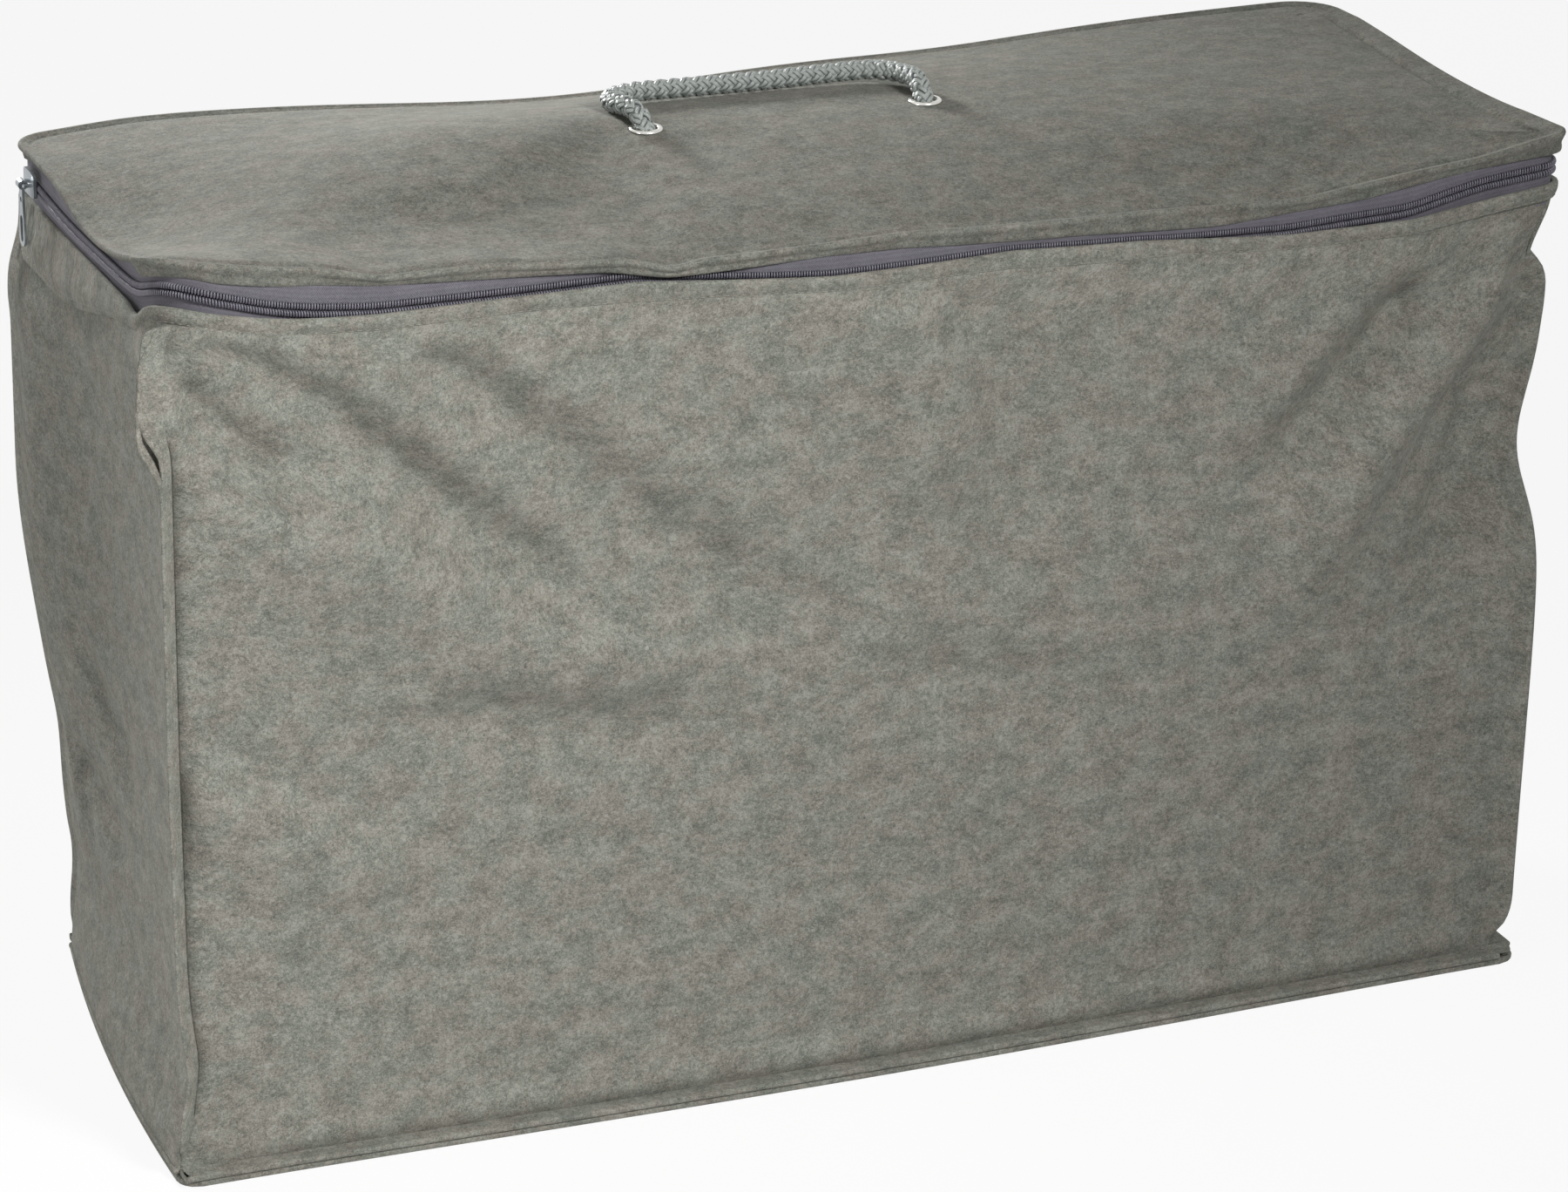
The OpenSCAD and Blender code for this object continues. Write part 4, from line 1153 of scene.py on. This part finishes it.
def lidTop(x, y):
    even = (lidEdge - sagAt(x) * np.clip(-y / halfD, 0, 1) ** 2
            - lid["backDip"] * hump(x, halfW) * np.clip(y / halfD, 0, 1.1) ** 2
            + lid["crown"] * np.clip(1 - (x / halfW) ** 2, 0, None) * np.clip(1 - (y / halfD) ** 2, 0, None))
    front, back = (ease(start * halfD, end * halfD, y) for start, end in (lid["frontZone"], lid["backZone"]))
    top = even + front * curve(x, slack["edge"]) + nearLeft(x, lid["leftZone"]) * bells(y, lid["leftSag"])
    top = top + lid["cornerShare"] * cornerLift(x, y) + back * bells(x, lid["backWaves"])
    (px, py), (wx, wy) = lid["puffPlace"], lid["puffWidth"]
    top = top + lid["puff"] * bell(x, px, wx) * bell(y, py, wy)
    far, share = besideLine(x, y, lid["step"])
    ends = ease(*lid["stepStart"], share) * (1 - ease(*lid["stepEnd"], share))
    top = top - lid["stepDepth"] * ends * ease(*lid["stepAcross"], far) * (1 - ease(*lid["stepBack"], far))
    seat = bell(np.abs(x), lid["eyeletX"], lid["seat"]) * bell(y, 0, lid["seat"])
    return top * (1 - seat) + even * seat


# the edge as it lies: pulled out at the front corners, drawn in along the right side
def lidPlan(spots, ways):
    x, y = spots.T
    tip = spotAt(x, y, lid["tip"])
    right = np.clip(ways[:, 0], 0, 1) * bells(y, lid["rightIn"]) * ease(*lid["rightHalf"], x)
    moved = spots.copy()
    moved[:, 0] += lid["tipPull"][0] * tip - lid["leftPull"] * spotAt(x, y, lid["leftTip"]) - right
    moved[:, 1] -= lid["tipPull"][1] * tip
    return moved


# samples round the edge, anticlockwise from the front left, each tied to a point of the grid
def lidBorder(gx, gy):
    nx, ny = len(gx), len(gy)
    samples = []

    def corner(hand, side, r, start, tie):
        for angle in np.radians(start + np.linspace(0, 90, lid["cornerSteps"])):
            samples.append((tie, "arc", (hand, side, r, angle)))

    bl, fl, fr, br = lid["corner"]
    corner(-1, -1, fl, 180, (0, 0))
    samples += [((i, 0), "run", (gx[i], None, 0, -1)) for i in range(1, nx - 1)]
    corner(1, -1, fr, 270, (nx - 1, 0))
    samples += [((nx - 1, j), "run", (None, gy[j], 1, 0)) for j in range(1, ny - 1)]
    corner(1, 1, br, 0, (nx - 1, ny - 1))
    samples += [((i, ny - 1), "run", (gx[i], None, 0, 1)) for i in range(nx - 2, 0, -1)]
    corner(-1, 1, bl, 90, (0, ny - 1))
    samples += [((0, j), "run", (None, gy[j], -1, 0)) for j in range(ny - 2, 0, -1)]
    return samples


def lidOutline(samples, inset):
    spots, ways = [], []
    for _, kind, place in samples:
        if kind == "arc":
            hand, side, r, a = place
            keep = max(r, inset)
            way = np.array([math.cos(a), math.sin(a)])
            spots.append(np.array([hand * (halfW - keep), side * (halfD - keep)]) + max(r - inset, 0) * way)
        else:
            x, y, wx, wy = place
            way = np.array([wx, wy], float)
            spots.append(np.array([wx * (halfW - inset) if x is None else x,
                                   wy * (halfD - inset) if y is None else y]))
        ways.append(way)
    spots, ways = np.array(spots), np.array(ways)
    spots[:, 1] -= rimBowAt(spots[:, 0]) * np.clip(-ways[:, 1], 0, 1)
    return spots, ways


# from the top over the fold and the hem to the underside: points, and flat places or None
def lidRings(samples):
    edge, ways = lidOutline(samples, 0)
    x, y = edge.T
    plan = lidPlan(edge, ways)
    left, right = np.clip(-ways[:, 0], 0, 1), np.clip(ways[:, 0], 0, 1)
    front, back = np.clip(-ways[:, 1], 0, 1), np.clip(ways[:, 1], 0, 1)
    (startLow, startHigh), (endLow, endHigh) = lid["rightStart"], lid["rightEnd"]
    right = right * ease(-halfD + startLow, -halfD + startHigh, y) * ease(halfD - endLow, halfD - endHigh, y)
    rings = []

    def ring(spots, z, flat=None):
        rings.append((np.column_stack([spots, z]), flat))

    def surface(inset):
        spots = lidPlan(lidOutline(samples, inset)[0], ways)
        return spots, lidTop(*spots.T)

    for inset in reversed(lid["insets"]):
        spots, z = surface(inset)
        z = z - lid["rightGroove"] * bell(inset, *lid["stitchPlace"]) * right ** 2
        z = z + lid["rightLift"] * right * ease(*lid["rightLiftSpan"], inset)
        ring(spots, z - lid["groove"] * bell(inset, *lid["groovePlace"]) * (1 - right), spots)
    fold = lid["fold"]
    foldTop = surface(fold)[1] + lid["rightLift"] * right
    for a in np.radians(lid["foldTurns"]):
        bead = lid["ridge"] * bell(a, *lid["ridgePlace"])
        spots = lidPlan(lidOutline(samples, fold * (1 - math.sin(a)))[0], ways)
        ring(spots + ways * bead * math.sin(a), foldTop - fold * (1 - math.cos(a)) + bead * math.cos(a))
    skirtTop = foldTop - fold
    hem = zipZ + bag["zipRise"] - sagAt(x) * front + curve(x, slack["hem"]) * frontness(y)
    hem = np.minimum(hem + (cornerLift(x, y) - sideSag(x, y)) * (1 - back), skirtTop - lid["skirtLeast"])
    hem = hem * (1 - back) + (zipZ + lid["backHem"]) * back + felt / 2
    tuck = lid["tuckLeft"] * left + lid["tuckFront"] * front * (1 - bells(x, lid["tuckEase"]))
    tuck = (tuck + lid["tuckRight"] * right) * (1 - back)
    for share in lid["skirtRows"]:
        inset = tuck * share ** lid["tuckPower"] + bells(share, lid["skirtPuff"])
        ring(plan - ways * inset[:, None], skirtTop + (hem - skirtTop) * share)
    for a in np.radians(lid["hemTurns"]):  # the cut lower edge
        inset = tuck + felt / 2 * (1 - math.cos(a))
        ring(plan - ways * inset[:, None], hem - felt / 2 * lid["hemBulge"] * math.sin(a))
    for share in lid["insideRows"]:
        inset = tuck * share ** lid["tuckPower"] + felt
        ring(plan - ways * inset[:, None], skirtTop + (hem - skirtTop) * share)
    for inset in (felt + fold * 0.6, *lid["insets"][3:]):
        spots, z = surface(inset)
        ring(spots, z - felt, spots + [0, lid["underShift"]])
    return rings, ways


def makeLid():
    inner, nx, ny = lid["inner"], lid["columns"], lid["rows"]
    gx = np.linspace(inner - halfW, halfW - inner, nx)
    gy = np.linspace(inner - halfD, halfD - inner, ny)
    samples = lidBorder(gx, gy)
    rings, ways = lidRings(samples)
    count = len(samples)
    x, y = np.meshgrid(gx, gy, indexing="ij")
    y = y - rimBowAt(x) * ease(lid["bowFrom"] * halfD, inner - halfD, y)
    top = np.stack([x, y, lidTop(x, y)], -1).reshape(-1, 3)
    points, flats = [top], [top[:, :2]]
    for ringPoints, ringFlat in rings:
        if ringFlat is None:  # past the fold the cloth runs straight on
            ringFlat = flats[-1] + ways * np.linalg.norm(ringPoints - points[-1], axis=1)[:, None]
        points.append(ringPoints)
        flats.append(ringFlat)
    points.append(top - [0, 0, felt])
    flats.append(top[:, :2] + [0, lid["underShift"]])
    firstRing, lastRing = nx * ny, nx * ny + (len(rings) - 1) * count
    under = lastRing + count
    faces = gridFaces(nx, ny) + gridFaces(nx, ny, under)
    k = np.arange(count)
    for a in range(firstRing, lastRing, count):
        b = a + count
        faces += np.stack([a + k, a + (k + 1) % count, b + (k + 1) % count, b + k], -1).tolist()
    tie = [i * ny + j for (i, j), _, _ in samples]
    for first, offset in ((firstRing, 0), (lastRing, under)):
        for n in range(count):
            m = (n + 1) % count
            face = [first + n, first + m, offset + tie[m], offset + tie[n]]
            faces.append(face if tie[m] != tie[n] else face[:3])
    piece = meshPiece("lid_felt", np.concatenate(points), faces, np.concatenate(flats), lidFeltShaded)
    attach(piece, "lid")
    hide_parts("lid_panel")


makeLid()
print("lid made")

makeTape("zip_tape_low", "base", "zip_tape_lower", *zipper["low"])
makeTape("zip_tape_high", "lid", "zip_tape_upper", *zipper["high"])
makeCoil("zip_coil_low", "base", "zip_coil_lower", False)
makeCoil("zip_coil_high", "lid", "zip_coil_upper", True)
print("zip made")


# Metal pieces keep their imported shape, and the zip's have softened edges

metal = {
    "zipMetal": ("zip_slider", "zip_pull", "zip_top_stop_lower", "zip_top_stop_upper", "zip_bottom_stop"),
    "nickel": ("eyelet_left", "eyelet_right", "eyelet_washer_left", "eyelet_washer_right"),
    "bevel": 0.22, "bevelAngle": 40,
}


def dressMetal():
    for nodes, finish in ((metal["zipMetal"], zipMetal), (metal["nickel"], nickel)):
        for name in nodes:
            node = frame["nodes"][name]
            node.data.materials.clear()
            node.data.materials.append(finish)
            if finish is zipMetal:
                soft = node.modifiers.new("soft", "BEVEL")
                soft.width, soft.segments, soft.limit_method = metal["bevel"] * mm, 2, "ANGLE"
                soft.angle_limit = math.radians(metal["bevelAngle"])


dressMetal()
print("metal dressed")


# Handle: one braided cord from eyelet to eyelet, lying back on the lid, and its stopper knots inside

handle = {
    "diameter": 9.5, "length": 0.224,
    "route": [(-67, -1.6, 409.5), (-67, 0.6, 413.0), (-67.6, 4.6, 417.4), (-69, 10.0, 420.2),
              (-71.4, 17.0, 420.8), (-73.2, 25.0, 419.8), (-71.6, 34.0, 418.8), (-64.5, 41.0, 418.2),
              (-54, 44.4, 417.8), (-36, 45.0, 417.4), (-14, 44.6, 417.2), (8, 44.0, 417.2),
              (28, 43.6, 417.6), (44, 43.0, 418.0), (55.5, 40.2, 418.6), (63.0, 33.6, 419.2),
              (66.8, 25.0, 419.8), (68, 17.0, 420.5), (67.6, 10.0, 420.3), (67.2, 4.2, 417.4),
              (67, 0.4, 413.0), (67, -1.6, 409.5)],
    "strands": 8, "lay": 25.0, "strandWidth": 2.5, "strandThick": 1.8, "weave": 0.66, "coreGap": 0.1,
    "routeSteps": 12, "startWay": (0.3, 0.9, 0.2), "step": 0.7, "sides": 10,
    "flatWidth": 1000, "flatShift": 37,  # each strand has its own place on the flat
}


def smoothRoute(points, step):  # a curve through the points, by cubic pieces
    p = np.array(points, float)
    p = np.concatenate([[2 * p[0] - p[1]], p, [2 * p[-1] - p[-2]]])
    t = np.linspace(0, 1, handle["routeSteps"], endpoint=False)[:, None]
    pieces = []
    for a, b, c, d in zip(p[:-3], p[1:-2], p[2:-1], p[3:]):
        square, cube = 2 * a - 5 * b + 4 * c - d, 3 * b - a - 3 * c + d
        pieces.append(0.5 * (2 * b + (c - a) * t + square * t ** 2 + cube * t ** 3))
    pieces.append(p[-2:-1])
    return alongPath(np.concatenate(pieces), step)


def besideRoute(line):  # directions beside a line that turn no more than they must
    tangent = unit(np.gradient(line, axis=0))
    side = np.zeros_like(line)
    side[0] = unit(np.cross(tangent[0], handle["startWay"]))
    for k in range(1, len(line)):
        side[k] = unit(side[k - 1] - tangent[k] * (side[k - 1] @ tangent[k]))
    return side, np.cross(tangent, side)


def braid(name, line, at, diameter):
    side, other = besideRoute(line)
    size = diameter / handle["diameter"]  # the knots' cord is a little thinner
    thin, wide, lay, weave = (handle[k] * size for k in ("strandThick", "strandWidth", "lay", "weave"))
    mid = diameter / 2 - thin / 2 - weave
    sides, strands = handle["sides"], handle["strands"]
    across = handle["flatWidth"] / 2 * np.cos(2 * math.pi * np.arange(sides) / sides)
    rings, flats = [], []
    for hand in (1, -1):
        for k in range(strands):
            turn = hand * 2 * math.pi * at / lay + 2 * math.pi * k / strands
            wave = np.cos(strands * math.pi * at / lay + (k % 2) * math.pi * 0.5 * hand)
            radial = np.cos(turn)[:, None] * side + np.sin(turn)[:, None] * other
            middle = line + radial * (mid + hand * weave * wave)[:, None]
            beside = unit(np.cross(unit(np.gradient(middle, axis=0)), radial))
            rings.append(circleRound(middle, wide / 2, beside, thin / 2, radial, sides))
            along = at + handle["flatShift"] * k
            flats.append(np.stack(np.meshgrid(along, across, indexing="ij")[::-1], -1))
    core = mid - handle["coreGap"]
    rings.append(circleRound(line, core, side, core, other, sides))
    flats.append(np.zeros((len(line), sides, 2)))
    faces = []
    for k in range(len(rings)):
        faces += tubeFaces(len(line), sides, k * len(line) * sides)
    points, flat = np.concatenate(rings).reshape(-1, 3), np.concatenate(flats).reshape(-1, 2)
    return meshPiece(name, points, faces, flat, braidYarn)


gripLine, gripAt = smoothRoute(handle["route"], handle["step"])
grip = braid("handle_braid", gripLine, gripAt, handle["diameter"])
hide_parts("handle_cord")
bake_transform(grip)

knotShape = {
    "cordD": 8.4, "radius": 7.6, "turns": 2.0, "turnSteps": 18, "height": 13.0, "tail": 14.0,
    "top": 409.0, "knotTop": 403.5,
}


def knotLine(hand):
    x = hand * lid["eyeletX"]
    high = knotShape["knotTop"]
    low = high - knotShape["height"]
    down = [(x, -1.6, knotShape["top"]), (x, -2.4, high), (x + 1.0, -2.0, high - 7), (x + 3.5, 0, low)]
    steps, radius = knotShape["turnSteps"], knotShape["radius"]
    coil = []
    for k in range(int(steps * knotShape["turns"]) + 1):
        a = 2 * math.pi * k / steps
        rise = knotShape["height"] * 0.5 * k / (steps * knotShape["turns"])
        coil.append((x + radius * math.cos(a), radius * math.sin(a), low + rise))
    tail = [(x + 3.0, 3.0, high - knotShape["height"] * 0.7), (x - 1.0, 0.5, low - 3),
            (x - 3.0, -1.0, low - knotShape["tail"])]
    return smoothRoute(down + coil + tail, handle["step"])


for hand, word in ((-1, "left"), (1, "right")):
    line, at = knotLine(hand)
    knot = braid(f"knot_{word}_braid", line, at, knotShape["cordD"])
    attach(knot, "lid")
    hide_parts(f"handle_knot_{word}")
print("handle made, cord length", round(float(gripAt[-1]), 1))


# Fold at the back: a tape sewn inside across the hinge line

hinge = {
    "from": 374.0, "to": 401.0, "gap": 0.55, "thick": 0.8, "end": 64.0, "lidGap": 0.8,
    "columns": 90, "rows": 28, "least": 0.1,
}


def makeHinge():
    x = np.linspace(hinge["end"] - halfW, halfW - hinge["end"], hinge["columns"])
    z = np.linspace(hinge["from"], hinge["to"], hinge["rows"])
    xx, zz = np.meshgrid(x, z, indexing="ij")
    y = np.full(xx.shape, halfD - felt - hinge["gap"] - hinge["thick"] / 2)
    top = lidTop(x, y[:, 0]) - felt - hinge["lidGap"]
    shorter = 1 - np.clip((top - zipZ) / (hinge["to"] - zipZ), hinge["least"], 1)
    zz = zz - np.clip(zz - zipZ, 0, None) * shorter[:, None]
    piece = feltShell("hinge_tape", np.stack([xx, y, zz], -1), hinge["thick"], tapeWeave)
    (zipZ - 6) * mm
    (zipZ + 6) * mm
    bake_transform(piece)


makeHinge()
print("hinge tape made")


# Stitches: short sunk lengths of thread along the rim band

stitch = {
    "length": 3.0, "gap": 0.7, "radius": 0.26, "sink": 0.12, "sides": 6, "step": 0.5,
    "shares": (0, 0.12, 0.35, 0.65, 0.88, 1.0),  # along a stitch, with its thickness and its rise there
    "thick": (0.35, 0.8, 1.0, 1.0, 0.8, 0.35), "rise": (-0.5, -0.05, 0.12, 0.12, -0.05, -0.5),
}


def stitchRow(name, body, path, normal):
    line, at = alongPath(np.column_stack([path, normal]), stitch["step"])
    starts = np.arange(stitch["gap"], at[-1] - stitch["length"], stitch["length"] + stitch["gap"])
    place = starts[:, None] + np.array(stitch["shares"]) * stitch["length"]
    spot = np.stack([np.interp(place, at, line[:, k]) for k in range(6)], -1)
    middle, up = spot[..., :3], unit(spot[..., 3:])
    side = unit(np.cross(unit(np.gradient(middle, axis=1)), up))
    middle = middle + up * (np.array(stitch["rise"]) - stitch["sink"])[:, None]
    thick = (np.array(stitch["thick"]) * stitch["radius"])[:, None, None]
    points = circleRound(middle, thick, side, thick, up, stitch["sides"]).reshape(-1, 3)
    rings = len(stitch["shares"])
    faces = []
    for n in range(len(starts)):
        faces += tubeFaces(rings, stitch["sides"], n * rings * stitch["sides"])
    piece = meshPiece(name, points, faces, points[:, :2], seamThread)
    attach(piece, body)


def stitchRim():
    normal = gridNormals(bandGrid, True)
    centre = np.array([0, 0, bandGrid[0, 0, 2]])
    normal = normal * np.sign(((bandGrid - centre) * normal)[..., :2].sum(-1, keepdims=True))  # outwards
    path, way = (np.concatenate([row, row[:1]]) for row in (bandGrid[:, 1], normal[:, 1]))
    stitchRow("rim_stitches", "base", path + way * felt / 2, way)


stitchRim()
print("stitches made")


# Stage and light

stageLook = {
    "floor": 6.0, "floorColour": colour(0.86, 0.86, 0.86), "glow": 0.9, "fill": 0.19,
    "lamps": {
        "key": {"place": (0.20, -1.40, 1.22), "aim": (-0.42, -0.12, 0.25),
                "size": 0.36, "power": 5.35, "spread": 76},
        "side": {"place": (-1.5, -0.45, 0.55), "aim": (-0.3, 0, 0.2),
                 "size": 0.6, "power": 2.3, "spread": 120},
        "back": {"place": (-0.42, 1.40, 0.82), "aim": (-0.08, 0.04, 0.41),
                 "size": 0.3, "power": 2.7, "spread": 52},
    },
}


def seenShare(wire):  # 1 for what the eye sees, straight or in a shine, and 0 for the light on the felt
    rays = wire.add("ShaderNodeLightPath").socket.node.outputs
    kinds = ("Is Camera Ray", "Is Glossy Ray", "Is Transmission Ray")
    seen, gloss, through = (Wire(wire.tree, rays[kind]) for kind in kinds)
    return wire.add("ShaderNodeMath", {"operation": "ADD", "use_clamp": True}, {0: seen + gloss, 1: through})


def layFloor():
    made, wire = newFinish("pale_floor")
    matt = wire.add("ShaderNodeBsdfDiffuse", None, {"Color": stageLook["floorColour"]})
    glow = wire.add("ShaderNodeEmission", None, {"Color": colour(1, 1, 1), "Strength": 1.0})
    both = wire.add("ShaderNodeMixShader", None, {0: seenShare(wire) * stageLook["glow"], 1: matt, 2: glow})
    wire.add("ShaderNodeOutputMaterial", None, {"Surface": both})
    half = stageLook["floor"]
    mesh = bpy.data.meshes.new("floor")
    corners = [(-half, -half, 0), (half, -half, 0), (half, half, 0), (-half, half, 0)]
    mesh.from_pydata(corners, [], [(0, 1, 2, 3)])
    mesh.materials.append(made)
    floor = bpy.data.objects.new("floor", mesh)
    bpy.context.scene.collection.objects.link(floor)


def lightRoom():
    world = bpy.data.worlds.new("studio")
    bpy.context.scene.world = world
    world.use_nodes = True
    world.node_tree.nodes.clear()
    sky = Wire(world.node_tree)
    strength = stageLook["fill"] + seenShare(sky) * (1 - stageLook["fill"])
    light = sky.add("ShaderNodeBackground", None, {"Color": colour(1, 1, 1), "Strength": strength})
    sky.add("ShaderNodeOutputWorld", None, {"Surface": light})
    for name, look in stageLook["lamps"].items():
        data = bpy.data.lights.new(name, "AREA")
        data.size, data.energy, data.spread = look["size"], look["power"], math.radians(look["spread"])
        lamp = bpy.data.objects.new(name, data)
        lamp.location = look["place"]
        lamp.rotation_euler = (Vector(look["aim"]) - lamp.location).to_track_quat("-Z", "Y").to_euler()
        bpy.context.scene.collection.objects.link(lamp)
    bpy.context.scene.view_settings.view_transform = "Standard"


layFloor()
lightRoom()
print("stage set")
